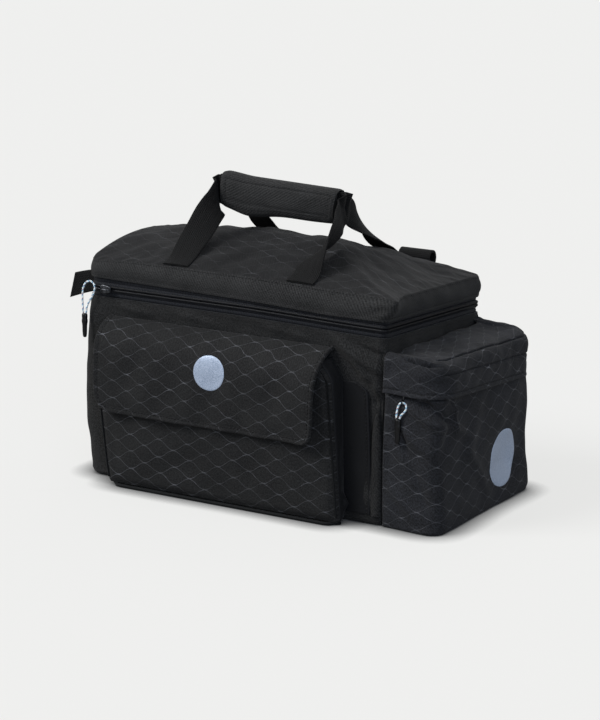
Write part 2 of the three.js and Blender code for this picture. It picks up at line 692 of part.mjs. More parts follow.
// A slider: a plate on the coil, and a wire ring on a bar that the cord loop passes through
function sliderBody(size, y, z, turn) {
  const plate = new THREE.BoxGeometry(size.length, size.thickness, size.width);
  const ring = new THREE.TorusGeometry(eye.inner + eye.wire, eye.wire, eye.wireSides, eye.sides)
    .rotateY(turn).translate(-size.eyeReach, -size.eyeOut, -size.eyeDrop);
  const inner = new THREE.Vector3(0, 0, 0);
  const reach = new THREE.Vector3(-size.eyeReach, 0, -size.eyeDrop);
  reach.setLength(reach.length() - eye.inner - eye.wire);
  const bar = new THREE.BoxGeometry(
    Math.abs(reach.x) + 2 * eye.wire, 2 * eye.wire, Math.abs(reach.z) + 2 * eye.wire);
  const middle = inner.add(reach).multiplyScalar(0.5);
  bar.translate(middle.x, middle.y, middle.z);
  return joined([plate, bar, ring]).translate(size.x, -y, z);
}

function cordBody(route) {
  const curve = new THREE.CatmullRomCurve3(route.map((point) => new THREE.Vector3(...point)));
  const section = new THREE.Shape();
  section.absarc(0, 0, cord.diameter / 2, 0, 2 * Math.PI);
  const steps = Math.ceil(curve.getLength() / (2.2 * cord.diameter));
  return new THREE.ExtrudeGeometry(section, {
    steps, extrudePath: curve, bevelEnabled: false, curveSegments: cord.sides / 2,
  });
}

// Side view of a moulded end: half widths at shares of its length from the top
const pullEndProfile = [
  { down: 1, wide: 0.3 }, { down: 0.92, wide: 0.66 }, { down: 0.75, wide: 0.78 },
  { down: 0.55, wide: 0.8 }, { down: 0.32, wide: 1 }, { down: 0.12, wide: 0.95 },
  { down: 0, wide: 0.86 },
];

function pullEndBody(route) {
  const profile = [
    new THREE.Vector2(0, -pullEnd.length),
    ...pullEndProfile.map(({ down, wide }) => (
      new THREE.Vector2(wide * pullEnd.width / 2, -down * pullEnd.length))),
    new THREE.Vector2(0, 0),
  ];
  const [first, last] = [route[0], route.at(-1)];
  return new THREE.LatheGeometry(profile, 12).rotateX(Math.PI / 2)
    .scale(1, pullEnd.thickness / pullEnd.width, 1)
    .translate((first[0] + last[0]) / 2, first[1], first[2] - clearance);
}

const sliderY = half.width - coilInset + zip.coilThickness + clearance + slider.thickness / 2;
const endSliderY = end.width / 2 - endCoilInset + endZip.coilThickness + clearance
  + endSlider.thickness / 2;
addPiece('zip_slider', sliderBody(slider, sliderY, zip.centre, 0), 'metal');
addPiece('end_zip_slider', sliderBody(endSlider, endSliderY, endZip.centre, Math.PI / 2), 'metal');
addPiece('zip_pull_cord', cordBody(mainPullRoute), 'cord');
addPiece('zip_pull_end', pullEndBody(mainPullRoute), 'moulded');
addPiece('end_pull_cord', cordBody(endPullRoute), 'cord');
addPiece('end_pull_end', pullEndBody(endPullRoute), 'moulded');

export default bag;
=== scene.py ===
"""Looks of the bicycle trunk bag: cloth, zips, webbing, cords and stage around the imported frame.

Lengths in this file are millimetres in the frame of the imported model, and become metres when a
mesh is made. UV maps are in millimetres along the cloth, so every weave has its real scale.
"""
import math

import bmesh
import bpy
import numpy as np
from mathutils import Matrix, Vector


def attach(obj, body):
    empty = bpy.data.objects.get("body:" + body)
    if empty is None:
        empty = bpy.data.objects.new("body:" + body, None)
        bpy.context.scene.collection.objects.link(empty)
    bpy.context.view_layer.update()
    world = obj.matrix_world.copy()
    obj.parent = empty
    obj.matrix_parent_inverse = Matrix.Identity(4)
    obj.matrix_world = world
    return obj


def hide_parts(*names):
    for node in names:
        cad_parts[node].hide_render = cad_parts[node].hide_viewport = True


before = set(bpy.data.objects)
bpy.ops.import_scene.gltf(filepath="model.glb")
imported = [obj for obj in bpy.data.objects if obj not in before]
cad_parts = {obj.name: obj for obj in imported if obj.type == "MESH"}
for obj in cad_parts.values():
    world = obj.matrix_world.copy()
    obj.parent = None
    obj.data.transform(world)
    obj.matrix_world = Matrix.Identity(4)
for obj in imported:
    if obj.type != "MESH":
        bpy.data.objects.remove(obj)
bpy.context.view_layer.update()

bl_info = {
    "name": "Bicycle trunk bag",
    "version": (1, 0, 0),
    "blender": (4, 5, 0),
    "location": "View3D > Sidebar > Trunk bag",
    "description": "Builds the cloth, zips, webbing and stage of a bicycle trunk bag",
    "category": "Mesh",
}

MM = 0.001
HALF = 85.5
FACE = 85.8
LEFT, RIGHT = 152.0, 145.0
RIM, ZIP, EDGE, SEAM = 161.0, 168.5, 175.0, 196.0
CREST, CREST_FALL = 218.0, 14.0
PULL_CORD = 1.6
MAIN_PULL_ROUTE = [
    (-150.2, -90.6, 145.4), (-150.5, -90.6, 150.0), (-150.9, -90.5, 156.0), (-151.0, -90.4, 162.0),
    (-150.2, -90.2, 168.0), (-147.6, -89.6, 172.6), (-143.6, -88.9, 174.0), (-140.5, -88.5, 172.0),
    (-139.5, -88.4, 168.5), (-140.1, -88.5, 164.8), (-142.0, -88.9, 160.6), (-144.6, -89.6, 156.0),
    (-146.5, -90.3, 151.0), (-147.2, -90.6, 145.4),
]
END_PULL_ROUTE = [
    (157.9, -88.7, 95.4), (158.0, -88.65, 98.5), (158.3, -88.5, 101.8), (159.1, -88.2, 105.2),
    (160.7, -88.0, 108.0), (163.0, -87.9, 109.0), (165.4, -88.0, 108.0), (166.5, -88.2, 105.6),
    (165.8, -88.4, 102.8), (163.8, -88.5, 100.2), (161.8, -88.6, 98.0), (160.9, -88.7, 95.4),
]


# Numbers and curves

def smooth(low, high, value):
    """Smooth step: 0 below low, 1 above high, and 3t^2 - 2t^3 between them."""
    t = np.clip((value - low) / (high - low), 0.0, 1.0)
    return t * t * (3.0 - 2.0 * t)


def lerp(a, b, t):
    """Straight mix from a to b."""
    return a + (b - a) * t


def bump(value, centre, width):
    """Bell curve: exp(-((value - centre) / width)^2)."""
    return np.exp(-(((value - centre) / width) ** 2))


def through(value, xs, ys):
    """Smooth curve through table points: cubic pieces whose slopes are those of the neighbours."""
    xs, ys = np.asarray(xs, float), np.asarray(ys, float)
    slopes = np.gradient(ys, xs)
    k = np.clip(np.searchsorted(xs, value, side="right") - 1, 0, len(xs) - 2)
    span = xs[k + 1] - xs[k]
    t = np.clip((value - xs[k]) / span, 0.0, 1.0)
    return ((1 + 2 * t) * (1 - t) ** 2 * ys[k] + t * (1 - t) ** 2 * span * slopes[k]
            + t * t * (3 - 2 * t) * ys[k + 1] + t * t * (t - 1) * span * slopes[k + 1])


def folds(a, b, seed, wave, size, layers=5):
    """Soft cloth waves: a sum of sines in seeded directions, each bent by another slow sine."""
    rng = np.random.default_rng(seed)
    total = np.zeros(np.broadcast(a, b).shape)
    for _ in range(layers):
        angle, phase, bend = rng.uniform(0.0, 2.0 * math.pi, 3)
        length = wave * rng.uniform(0.7, 1.5)
        along = a * math.cos(angle) + b * math.sin(angle)
        across = b * math.cos(angle) - a * math.sin(angle)
        warp = 0.18 * length * np.sin(across / length * 2.3 + bend)
        total = total + np.sin(2.0 * math.pi * (along + warp) / length + phase)
    return total * size / math.sqrt(layers)


def crease(a, b, start, end, width, height):
    """Ridge along a line from start to end: a bell across it that fades out at both ends."""
    (ax, ay), (bx, by) = start, end
    dx, dy = bx - ax, by - ay
    length = math.hypot(dx, dy)
    along = ((a - ax) * dx + (b - ay) * dy) / length
    across = ((b - ay) * dx - (a - ax) * dy) / length
    ends = smooth(-0.3 * length, 0.25 * length, along) * smooth(1.3 * length, 0.75 * length, along)
    return height * ends * bump(across, 0.0, width)


def stations(length, step, edge=2.0):
    """Places along a length, in steps, with a few closer ones near each end for a round edge."""
    near = edge * np.array([0.0, 0.04, 0.15, 0.35, 0.65])
    inner = np.linspace(edge, length - edge, max(2, int(round((length - 2 * edge) / step)) + 1))
    return np.concatenate([near, inner, length - near[::-1]])


def normals_of(points):
    """Normals of a grid of points: the cross product of its slopes along columns and rows."""
    across = np.gradient(points, axis=1)
    down = np.gradient(points, axis=0)
    return unit(np.cross(across, down))


def looped(function, s, length, blend=40.0):
    """A function of distance round a closed line, mixed near its end with its value a turn
    earlier, so that end and start agree."""
    return lerp(function(s), function(s - length), smooth(length - blend, length, s))


def walked(points):
    """Distance walked along a line of points, from 0 at its first."""
    return np.concatenate([[0.0], np.cumsum(np.linalg.norm(np.diff(points, axis=0), axis=1))])


def looked_up(function, places, steps, points):
    """Points at places along a line, each coordinate by a function such as np.interp."""
    return np.stack([function(places, steps, points[:, k]) for k in range(3)], axis=1)


def unit(vectors):
    """Vectors brought to length one."""
    return vectors / np.maximum(np.linalg.norm(vectors, axis=-1, keepdims=True), 1e-9)


def squared(value, power):
    """Signed power of a sine or cosine, which turns a circle into a superellipse."""
    return np.sign(value) * np.abs(value) ** power


def quarter(share):
    """Height of a quarter circle: 0 at share 0, 1 from share 1 on, and steepest at its start."""
    return np.sqrt(1.0 - (1.0 - np.clip(share, 0.0, 1.0)) ** 2)


def stack(*parts):
    """Joins coordinates, spread to one common shape, into points."""
    return np.stack(np.broadcast_arrays(*parts), axis=-1).astype(float)


class Outline:
    """Rounded rectangle walked anticlockwise: arcs and straight sides looked up by distance.

    The walk starts at the middle of the left side. Between samples the place is a straight mix,
    and the normal's angle grows evenly along each arc.
    """

    def __init__(self, left, right, low, high, radii):
        xs, ys, angles = [left], [0.5 * (low + high)], [math.pi]
        corners = [
            (left, low, 1, 1, math.pi), (right, low, -1, 1, 1.5 * math.pi),
            (right, high, -1, -1, 2.0 * math.pi), (left, high, 1, -1, 2.5 * math.pi),
        ]
        for (x, y, sx, sy, start), radius in zip(corners, radii):
            turn = start + np.linspace(0.0, 0.5 * math.pi, 25)
            xs.extend(x + sx * radius + radius * np.cos(turn))
            ys.extend(y + sy * radius + radius * np.sin(turn))
            angles.extend(turn)
        self.x = np.array(xs + [left])
        self.y = np.array(ys + [ys[0]])
        self.angle = np.array(angles + [3.0 * math.pi])
        self.s = np.concatenate([[0.0], np.cumsum(np.hypot(np.diff(self.x), np.diff(self.y)))])
        self.s += 1e-7 * np.arange(len(self.s))
        self.length = self.s[-1]

    def at(self, s, inset=0.0):
        """x, y and normal of the line that lies inset inside the outline."""
        angle = np.interp(s, self.s, self.angle)
        nx, ny = np.cos(angle), np.sin(angle)
        return np.interp(s, self.s, self.x) - inset * nx, np.interp(s, self.s, self.y) - inset * ny, nx, ny


PLAN = Outline(-LEFT, RIGHT, -HALF, HALF, (16.0, 6.0, 6.0, 16.0))


def share_along(x):
    """Place along the compartment: -1 at its left end and 1 at its right end."""
    return np.where(x < 0, x / LEFT, x / RIGHT)


def drop(u, v):
    """How far rim, zip and lid droop towards the far right corner."""
    return 10.0 * smooth(0.0, 1.0, u) * (0.25 + 0.375 * (1.0 + v))


def lid_edge(u, v):
    """Height of the lid band's lower edge."""
    return EDGE - 2.5 * u - drop(u, v) + 2.0 * smooth(0.5, 1.0, u)


def lid_seam(u, v):
    """Height of the seam between the lid's band and its top: level, lower at the right corners
    and arched over the left end."""
    arch = 15.0 * smooth(0.88, 1.0, -u) * (1.0 - v * v)
    corners = 5.0 * u ** 6 - 2.4 * smooth(0.6, 1.0, u) + np.maximum(0.0, u) ** 3 * (1.0 + v) * 0.7
    return SEAM + v - corners - drop(u, v) + arch


def lid_crest(u):
    """Height of the lid's ridge, which falls towards the right end."""
    return CREST - CREST_FALL * np.maximum(0.0, u) ** 3


# Meshes

def build(name, patches, materials, replaces=(), crisp=None, weld=0.004):
    """Makes one piece from grids of points.

    Each patch is (points, uv, material index). Neighbouring points of a grid span its faces, equal
    points are welded, and faces turn outwards. crisp is the angle past which an edge stays sharp.
    """
    points, loops, uvs, indices, start = [], [], [], [], 0
    for grid, uv, index in patches:
        rows, columns = grid.shape[:2]
        points.append(grid.reshape(-1, 3))
        first = (np.arange(rows - 1)[:, None] * columns + np.arange(columns - 1)[None]).ravel()
        quad = np.stack([first, first + 1, first + columns + 1, first + columns], axis=1)
        loops.append(quad.ravel() + start)
        uvs.append(np.asarray(uv, float).reshape(-1, 2)[quad.ravel()])
        indices.append(np.full(len(quad), index))
        start += rows * columns
    return finish_piece(name, np.concatenate(points), np.concatenate(loops), np.concatenate(uvs),
                        np.concatenate(indices), 4, materials, replaces, crisp, weld)


def finish_piece(name, points, loops, uvs, indices, sides, materials, replaces, crisp, weld):
    """Puts arrays into a mesh, welds it, turns its faces out and gives it its frame facts."""
    mesh = bpy.data.meshes.new(name)
    count = len(loops) // sides
    mesh.vertices.add(len(points))
    mesh.vertices.foreach_set("co", (points * MM).astype(np.float32).ravel())
    mesh.loops.add(len(loops))
    mesh.loops.foreach_set("vertex_index", loops.astype(np.int32))
    mesh.polygons.add(count)
    mesh.polygons.foreach_set("loop_start", np.arange(count, dtype=np.int32) * sides)
    mesh.polygons.foreach_set("material_index", indices.astype(np.int32))
    mesh.uv_layers.new(name="cloth")
    mesh.uv_layers["cloth"].data.foreach_set("uv", uvs.astype(np.float32).ravel())
    mesh.update(calc_edges=True)
    work = bmesh.new()
    work.from_mesh(mesh)
    if weld:
        bmesh.ops.remove_doubles(work, verts=work.verts, dist=weld * MM)
        bmesh.ops.dissolve_degenerate(work, edges=work.edges, dist=1e-7)
    bmesh.ops.recalc_face_normals(work, faces=work.faces)
    work.to_mesh(mesh)
    work.free()
    mesh.validate()
    mesh.shade_smooth()
    if crisp:
        mesh.set_sharp_from_angle(angle=math.radians(crisp))
    piece = bpy.data.objects.new(name, mesh)
    bpy.context.scene.collection.objects.link(piece)
    for material in materials:
        mesh.materials.append(finish(material))
    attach(piece, "root")
    if replaces:
        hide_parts(*replaces)
    return piece


def thicken(piece, thickness, lining=0):
    """Gives a one-sided piece its cloth thickness, inwards, with lining as the inner material."""
    wall = piece.modifiers.new("Cloth thickness", "SOLIDIFY")
    wall.thickness = thickness * MM
    wall.offset = -1.0
    wall.material_offset = lining
    wall.use_even_offset = False


def both_sides(grid, thickness, edge, profile=0.0, way=1.0):
    """Two faces of a sheet with round edges, the outward one first.

    Each face lies half the thickness along the normal, and within edge of the border the thickness
    follows a quarter circle down to nothing, so both faces meet there. profile raises the outward
    face, and way is -1 where the grid's columns and rows turn its normal inwards.
    """
    normal = way * normals_of(grid)
    steps_a = np.linalg.norm(np.diff(grid, axis=1), axis=-1)
    steps_b = np.linalg.norm(np.diff(grid, axis=0), axis=-1)
    a = np.concatenate([np.zeros((grid.shape[0], 1)), np.cumsum(steps_a, axis=1)], axis=1)
    b = np.concatenate([np.zeros((1, grid.shape[1])), np.cumsum(steps_b, axis=0)], axis=0)
    share = quarter(np.minimum.reduce([a, a[:, -1:] - a, b, b[-1:] - b]) / edge)
    half = 0.5 * thickness * share[..., None]
    raised = (profile * share)[..., None]
    return grid + normal * (half + raised), grid - normal * half


def build_sheet(name, grid, uv, shape, materials, replaces, side=-1):
    """One sheet as a piece on the near (-1) or far (1) side: shape is what both_sides takes, and
    a second material goes on the inward face."""
    patches = [(mirrored(face, side), uv, index % len(materials))
               for index, face in enumerate(both_sides(grid, *shape))]
    return build(name, patches, materials, replaces)


def mirrored(points, side):
    """Near-side points, or their reflection on the far side."""
    return points * np.array([1.0, -side, 1.0])


def stitch_row(path, normal, pitch=3.2, length=2.3, thick=0.7):
    """Thread stitches along a path: each is a small six-sided spindle laid on the cloth.

    The path is walked by distance at the pitch, and each spindle is turned by the frame of path,
    side and normal there. Returns points and quads.
    """
    steps = walked(path)
    places = np.arange(0.5 * pitch, steps[-1], pitch)
    at = looked_up(np.interp, places, steps, path)
    up = looked_up(np.interp, places, steps, normal)
    ahead = looked_up(np.interp, places + 0.5, steps, path) - at
    back = at - looked_up(np.interp, places - 0.5, steps, path)
    along = unit(ahead + back)
    side = unit(np.cross(up, along))
    up = np.cross(along, side)
    turn = np.arange(6) * math.pi / 3.0
    reach = length * np.array([-0.5, -0.36, 0.0, 0.36, 0.5])
    radius = 0.5 * thick * np.array([0.25, 0.8, 1.0, 0.8, 0.25])
    sink = thick * np.array([-0.45, -0.05, 0.12, -0.05, -0.45])
    local = stack(reach[:, None], radius[:, None] * np.cos(turn),
                  sink[:, None] + radius[:, None] * np.sin(turn)).reshape(-1, 3)
    points = (at[:, None] + local[None, :, :1] * along[:, None] + local[None, :, 1:2] * side[:, None]
              + local[None, :, 2:] * up[:, None])
    ring = np.arange(6)
    quads = np.concatenate([
        np.stack([k * 6 + ring, k * 6 + (ring + 1) % 6, k * 6 + 6 + (ring + 1) % 6, k * 6 + 6 + ring], 1)
        for k in range(4)])
    caps = np.array([[0, 1, 2, 3], [0, 3, 4, 5], [24, 27, 26, 25], [24, 29, 28, 27]])
    quads = np.concatenate([quads, caps])
    offset = np.arange(len(places))[:, None, None] * 30
    return points.reshape(-1, 3), (quads[None] + offset).reshape(-1, 4)


def build_stitches(name, rows):
    """One piece from many stitch rows, each given as its path and the normals along it."""
    points, quads, start = [], [], 0
    for line, normals in rows:
        made, faces = stitch_row(line, normals)
        points.append(made)
        quads.append(faces + start)
        start += len(made)
    loops = np.concatenate(quads).ravel()
    return finish_piece(name, np.concatenate(points), loops, np.zeros((len(loops), 2)),
                        np.zeros(len(loops) // 4), 4, ["bonded_nylon_thread"], (), None, 0.0)


def tube(path, radius, sides, up=(0.0, 0.0, 1.0)):
    """Patch of a round tube along a path: a circle in the plane of side and up at each point,
    closed at both ends. Its map is distance round and along it."""
    path = np.asarray(path, float)
    along = unit(np.gradient(path, axis=0))
    side = unit(np.cross(along, np.broadcast_to(up, path.shape)))
    over = np.cross(side, along)
    turn = np.linspace(0.0, 2.0 * math.pi, sides + 1)
    grid = path[:, None] + radius * (
        np.cos(turn)[None, :, None] * side[:, None] + np.sin(turn)[None, :, None] * over[:, None])
    grid = closed(grid, path[0], path[-1])
    return grid, stack(radius * turn[None], walked(grid[:, 0])[:, None]), 0


def closed(grid, first, last):
    """Rings with one more row at each end, all in one point, so that they close."""
    count = grid.shape[1]
    return np.concatenate([np.tile(first, (1, count, 1)), grid, np.tile(last, (1, count, 1))])


def unmapped(grid):
    """Patch of a grid whose material needs no map."""
    return grid, np.zeros((*grid.shape[:2], 2)), 0


def resampled(path, step):
    """A path walked at even steps: a smooth curve through its points, looked up by distance."""
    path = np.asarray(path, float)
    rough = walked(path)
    fine = np.linspace(0.0, rough[-1], 40 * len(path))
    dense = looked_up(through, fine, rough, path)
    s = walked(dense)
    even = np.linspace(0.0, s[-1], max(3, int(round(s[-1] / step)) + 1))
    return looked_up(np.interp, even, s, dense), s[-1]


# Materials

def linear(hex_colour):
    """sRGB hex colour as linear RGBA."""
    value = [int(hex_colour[i:i + 2], 16) / 255.0 for i in (1, 3, 5)]
    return (*[c / 12.92 if c <= 0.04045 else ((c + 0.055) / 1.055) ** 2.4 for c in value], 1.0)


def node(tree, kind, settings=None, **links):
    """Adds a shader node: settings are its properties, and links are its sockets by name, with
    spaces as underscores, or by number after an i. Each is fed by a signal or set to a value."""
    made = tree.nodes.new("ShaderNode" + kind)
    for key, value in (settings or {}).items():
        setattr(made, key, value)
    for key, value in links.items():
        socket = made.inputs[int(key[1:]) if key[1:].isdigit() else key.replace("_", " ")]
        if isinstance(value, Signal):
            tree.links.new(value.socket, socket)
        else:
            socket.default_value = value
    return made


class Signal:
    """Output of a shader node. Sums, products and the calls below add the nodes that follow it."""

    def __init__(self, made, output=0):
        self.tree = made.id_data
        self.socket = made.outputs[output]

    def maths(self, operation, *values):
        """Math node on this signal and further values."""
        links = {f"i{k + 1}": value for k, value in enumerate(values)}
        return Signal(node(self.tree, "Math", {"operation": operation}, i0=self, **links))

    def __add__(self, other):
        return self.maths("ADD", other)

    def __sub__(self, other):
        return self.maths("SUBTRACT", other)

    def __mul__(self, other):
        return self.maths("MULTIPLY", other)

    def __truediv__(self, other):
        return self.maths("DIVIDE", other)

    def sine(self, wavelength):
        """Sine wave of this distance."""
        return (self * (2.0 * math.pi / wavelength)).maths("SINE")

    def ramp(self, low, high, to_low=0.0, to_high=1.0):
        """Smooth step from low to high, mapped to two values."""
        return Signal(node(self.tree, "MapRange", {"interpolation_type": "SMOOTHSTEP"}, Value=self,
                           From_Min=low, From_Max=high, To_Min=to_low, To_Max=to_high))

    def mix(self, first, second):
        """Colour mix with this share of the second."""
        return Signal(node(self.tree, "Mix", {"data_type": "RGBA"}, i0=self, i6=first, i7=second), 2)

    def noise(self, scale, detail=2.0, rough=0.5):
        """Fractal noise at this place."""
        return Signal(node(self.tree, "TexNoise", Vector=self, Scale=scale, Detail=detail, Roughness=rough))


def new_material(name, **values):
    """A Principled shader in a new material, with the uniform values set on its own sockets."""
    material = bpy.data.materials.new(name)
    material.use_nodes = True
    tree = material.node_tree
    tree.nodes.clear()
    shader = node(tree, "BsdfPrincipled", **values)
    node(tree, "OutputMaterial", Surface=Signal(shader))
    return material, tree, shader


def cloth_axes(tree):
    """The UV map in millimetres: the whole place, and its parts across and along the cloth."""
    uv = Signal(node(tree, "UVMap", {"uv_map": "cloth"}))
    split = node(tree, "SeparateXYZ", Vector=uv)
    return uv, Signal(split, 0), Signal(split, 1)


def surface(shader, colour, rough, height, depth):
    """Feeds colour, roughness and a bump of a real depth in millimetres into the shader."""
    bumped = Signal(node(shader.id_data, "Bump", Height=height, Distance=depth * MM, Strength=1.0))
    for socket, signal in (("Base Color", colour), ("Roughness", rough), ("Normal", bumped)):
        shader.id_data.links.new(signal.socket, shader.inputs[socket])


def woven(name, dark, light, pitch, rough=0.82, depth=0.16, fleck=0.35, net=None, grain=3.2, **values):
    """Woven synthetic cloth: a base colour clouded by noise, diagonal ribs broken up along their
    length by the crossing threads, flecks of lit threads, and, where net is given, the raised net
    of pale yarn over it, brighter in scattered patches as painted glints."""
    settings = {"IOR": 1.5, "Specular_IOR_Level": 0.16, "Sheen_Weight": 0.03, "Sheen_Roughness": 0.5}
    material, tree, shader = new_material(name, **dict(settings, **values))
    uv, across, along = cloth_axes(tree)
    fine = uv.noise(0.7, 3.0, 0.7)
    ribs = (across + along * 0.7).sine(pitch) * 0.35 + (across - along * 2.2).sine(1.7 * pitch) * 0.12
    share = uv.noise(0.035, 3.0, 0.55).ramp(0.3, 0.7, 0.38, 0.56) + (ribs * fleck + (fine - 0.5) * grain)
    colour = share.mix(linear(dark), linear(light))
    roughness = fine.ramp(0.2, 0.8, rough - 0.06, rough + 0.06)
    height = ribs + fine * 0.5
    if net:
        line, bond = net_mask(uv, across, along, *net["cell"])
        shine = uv.noise(0.022).ramp(0.36, 0.68, net["weak"], net["strong"]) * bond.ramp(0.7, 1.0, 0.8,
                                                                                         1.15)
        # Scattered patches up to about twice as bright: painted glints on the net's pale yarn
        shine = shine * uv.noise(0.1, 2.0, 0.6).ramp(0.52, 0.74, 0.85, 2.2)
        colour = (line * shine).mix(colour, linear(net["colour"]))
        roughness = roughness - line * net["gloss"]
        height = height + line * 1.4
    surface(shader, colour, roughness, height, depth)
    return material


def net_mask(uv, across, along, width, height, thick):
    """Fishnet of yarn: two families of cosine waves a half cell apart, in opposite phase, that
    touch where the cells are narrowest. The mask is one on a line and fades within its thickness.
    Returned with it is a value that nears one beside the touching places."""
    wander = (uv.noise(0.045, 1.0, 0.4) - 0.5) * 3.0
    turn = (across + wander) * (2.0 * math.pi / width)
    wave = turn.maths("COSINE") * 0.235
    level = (along + wander) / height
    first, second = ((((place + shift).maths("FRACT") - 0.5).maths("ABSOLUTE")) * height
                     for place, shift in ((level - wave, 40.5), (level + wave, 40.0)))
    nearest = first.maths("SMOOTH_MIN", second, 0.9)
    return nearest.ramp(thick, thick * 0.25), turn.maths("COSINE").maths("ABSOLUTE")


def webbing_material(name, dark, light):
    """Polypropylene webbing: flat yarns woven in a herringbone, so light breaks into small Vs."""
    material, tree, shader = new_material(name, IOR=1.49, Specular_IOR_Level=0.12, Sheen_Weight=0.02)
    uv, across, along = cloth_axes(tree)
    height = (along + across.maths("PINGPONG", 3.1) * 1.1).sine(2.3) * 0.5 + across.sine(1.55) * 0.35
    fine = uv.noise(1.1, 2.0, 0.6)
    share = height.ramp(-0.6, 0.8, 0.0, 0.8) + (fine - 0.5) * 0.9
    surface(shader, share.mix(linear(dark), linear(light)), fine.ramp(0.2, 0.8, 0.6, 0.75), height, 0.3)
    return material


def ribbed_tape(name, dark, light, pitch):
    """Zip tape: polyester knitted in fine ribs across its length, a little glossier than cloth."""
    material, tree, shader = new_material(name, IOR=1.5, Specular_IOR_Level=0.16, Sheen_Weight=0.02)
    uv, across, _ = cloth_axes(tree)
    rib = across.sine(pitch)
    fine = uv.noise(1.0, 2.0, 0.6)
    colour = (rib * 0.3 + fine).mix(linear(dark), linear(light))
    surface(shader, colour, fine.ramp(0.2, 0.8, 0.5, 0.66), rib, 0.2)
    return material


def plain(name, dark, light, scale, rough, depth, detail=3.0, grain=0.55, **values):
    """A moulded, cast, coated or spun surface: two near colours clouded by a fine grain."""
    material, tree, shader = new_material(name, **values)
    cloud = Signal(node(tree, "TexCoord"), "Object").noise(scale, detail, grain)
    surface(shader, cloud.ramp(0.35, 0.65).mix(linear(dark), linear(light)),
            cloud.ramp(0.3, 0.7, *rough), cloud, depth)
    return material


def braided(name, pale, blue, red):
    """Braided polyester cord: pale and blue strands wound round it, with a red tracer."""
    material, tree, shader = new_material(name, IOR=1.5, Specular_IOR_Level=0.4, Sheen_Weight=0.1)
    _, around, along = cloth_axes(tree)
    helix = (around / (math.pi * PULL_CORD) + along / 4.2).maths("FRACT")
    strand = helix.sine(1.0 / 6.0)
    colour = helix.ramp(0.52, 0.6).mix(linear(pale), linear(blue))
    colour = (helix.ramp(0.86, 0.88) * helix.ramp(0.98, 0.96)).mix(colour, linear(red))
    surface(shader, colour, strand.ramp(-1.0, 1.0, 0.65, 0.5), strand, 0.12)
    return material


# The recipe of each finish, named for the real material and how it was made. Colours are names of
# the add-on's colour settings or sRGB hex values.
NET = {"cell": (29.5, 15.4, 0.45), "weak": 0.08, "strong": 0.2, "gloss": 0.12}
FINISHES = {
    # Dull black cloth with a slight diagonal rib; the pale yarn net glints where it faces light, and is
    # brighter in scattered patches as painted glints
    "net_polyester": (woven, "cloth_dark", "cloth_light", {"pitch": 1.7, "net": NET}),
    # The end pocket and its hood: the same net cloth with a paler, bluer light colour, a painted bluish sheen
    "end_net_polyester": (woven, "cloth_dark", "end_light", {"pitch": 1.7, "net": NET}),
    # The lid's top: the same net cloth, its light colour darker and its net fainter, as painted shade
    "lid_net_polyester": (woven, "cloth_dark", "lid_light",
                          {"pitch": 1.7, "net": dict(NET, weak=0.0, strong=0.15)}),
    # Coarser rib than the panels. The real rib is about 1 mm and is drawn at 2 so that it shows.
    "twill_polyester": (woven, "twill_dark", "twill_light",
                        {"pitch": 2.0, "rough": 0.86, "depth": 0.2, "fleck": 0.55, "grain": 4.5}),
    # The same twill, brushed: it is paler on the band and the grip
    "brushed_twill": (woven, "twill_dark", "twill_faced",
                      {"pitch": 2.6, "rough": 0.86, "depth": 0.18, "fleck": 0.5, "grain": 2.2}),
    # Fine coated cloth, smoother and bluer than the rest
    "coated_polyester": (woven, "smooth_dark", "smooth_light", {
        "pitch": 1.1, "rough": 0.62, "depth": 0.08, "fleck": 0.25, "grain": 5.0,
        "Specular_IOR_Level": 0.2}),
    # Blue-black binding along the pocket's base, kept near black as partly painted contact shadow; on thin
    # tubes along the side seams the same near black is painted seam shadow
    "bound_edge": (woven, "#010203", "#040608", {"pitch": 1.6, "rough": 0.7, "depth": 0.08, "fleck": 0.3}),
    # Grey inner cloth, plainly woven
    "nylon_lining": (woven, "#17181a", "#222326",
                     {"pitch": 1.4, "rough": 0.7, "depth": 0.08, "fleck": 0.2}),
    # Near-black flat yarns with a low sheen
    "polypropylene_webbing": (webbing_material, "web_dark", "web_light", {}),
    # Knitted tape, blue-black, with fine cross ribs
    "polyester_zip_tape": (ribbed_tape, "#06070a", "#1b1d23", {"pitch": 1.6}),
    # Nylon monofilament coil: smoother than the tape, so its turns catch small dim highlights
    "nylon_coil": (plain, "#07080b", "#0d0e12", {
        "scale": 300.0, "rough": (0.45, 0.6), "depth": 0.02, "IOR": 1.53, "Specular_IOR_Level": 0.16}),
    # Die-cast zinc with a dark nickel plate: small bright edges on a dark body
    "plated_zinc": (plain, "#2c2d30", "#56585c", {
        "scale": 250.0, "rough": (0.25, 0.4), "depth": 0.02, "Metallic": 1.0}),
    # Pale braid with blue strands and a thin red tracer
    "braided_cord": (braided, "#e4eef0", "#7fb3cf", {"red": "#b8473f"}),
    # Moulded thermoplastic rubber: deep black with a soft gloss
    "moulded_rubber": (plain, "#040405", "#09090a", {
        "scale": 400.0, "rough": (0.34, 0.45), "depth": 0.02, "IOR": 1.5, "Specular_IOR_Level": 0.3}),
    # Bonded nylon thread: black, a touch glossier than the cloth that it lies on
    "bonded_nylon_thread": (plain, "#060607", "#161617", {
        "scale": 900.0, "rough": (0.5, 0.65), "depth": 0.03, "IOR": 1.53, "Specular_IOR_Level": 0.2}),
    # Glass beads in a silver binder, which look like fine pale grain. The real beads are 0.05 mm;
    # they are drawn at 0.6 mm so that they show.
    "reflective_film": (plain, "#8290a4", "#a9b4c6", {
        "scale": 1.0 / (0.6 * MM), "rough": (0.42, 0.55), "depth": 0.03, "detail": 1.0, "grain": 0.5,
        "IOR": 1.5, "Metallic": 0.25, "Specular_IOR_Level": 0.5}),
}
MADE = {}


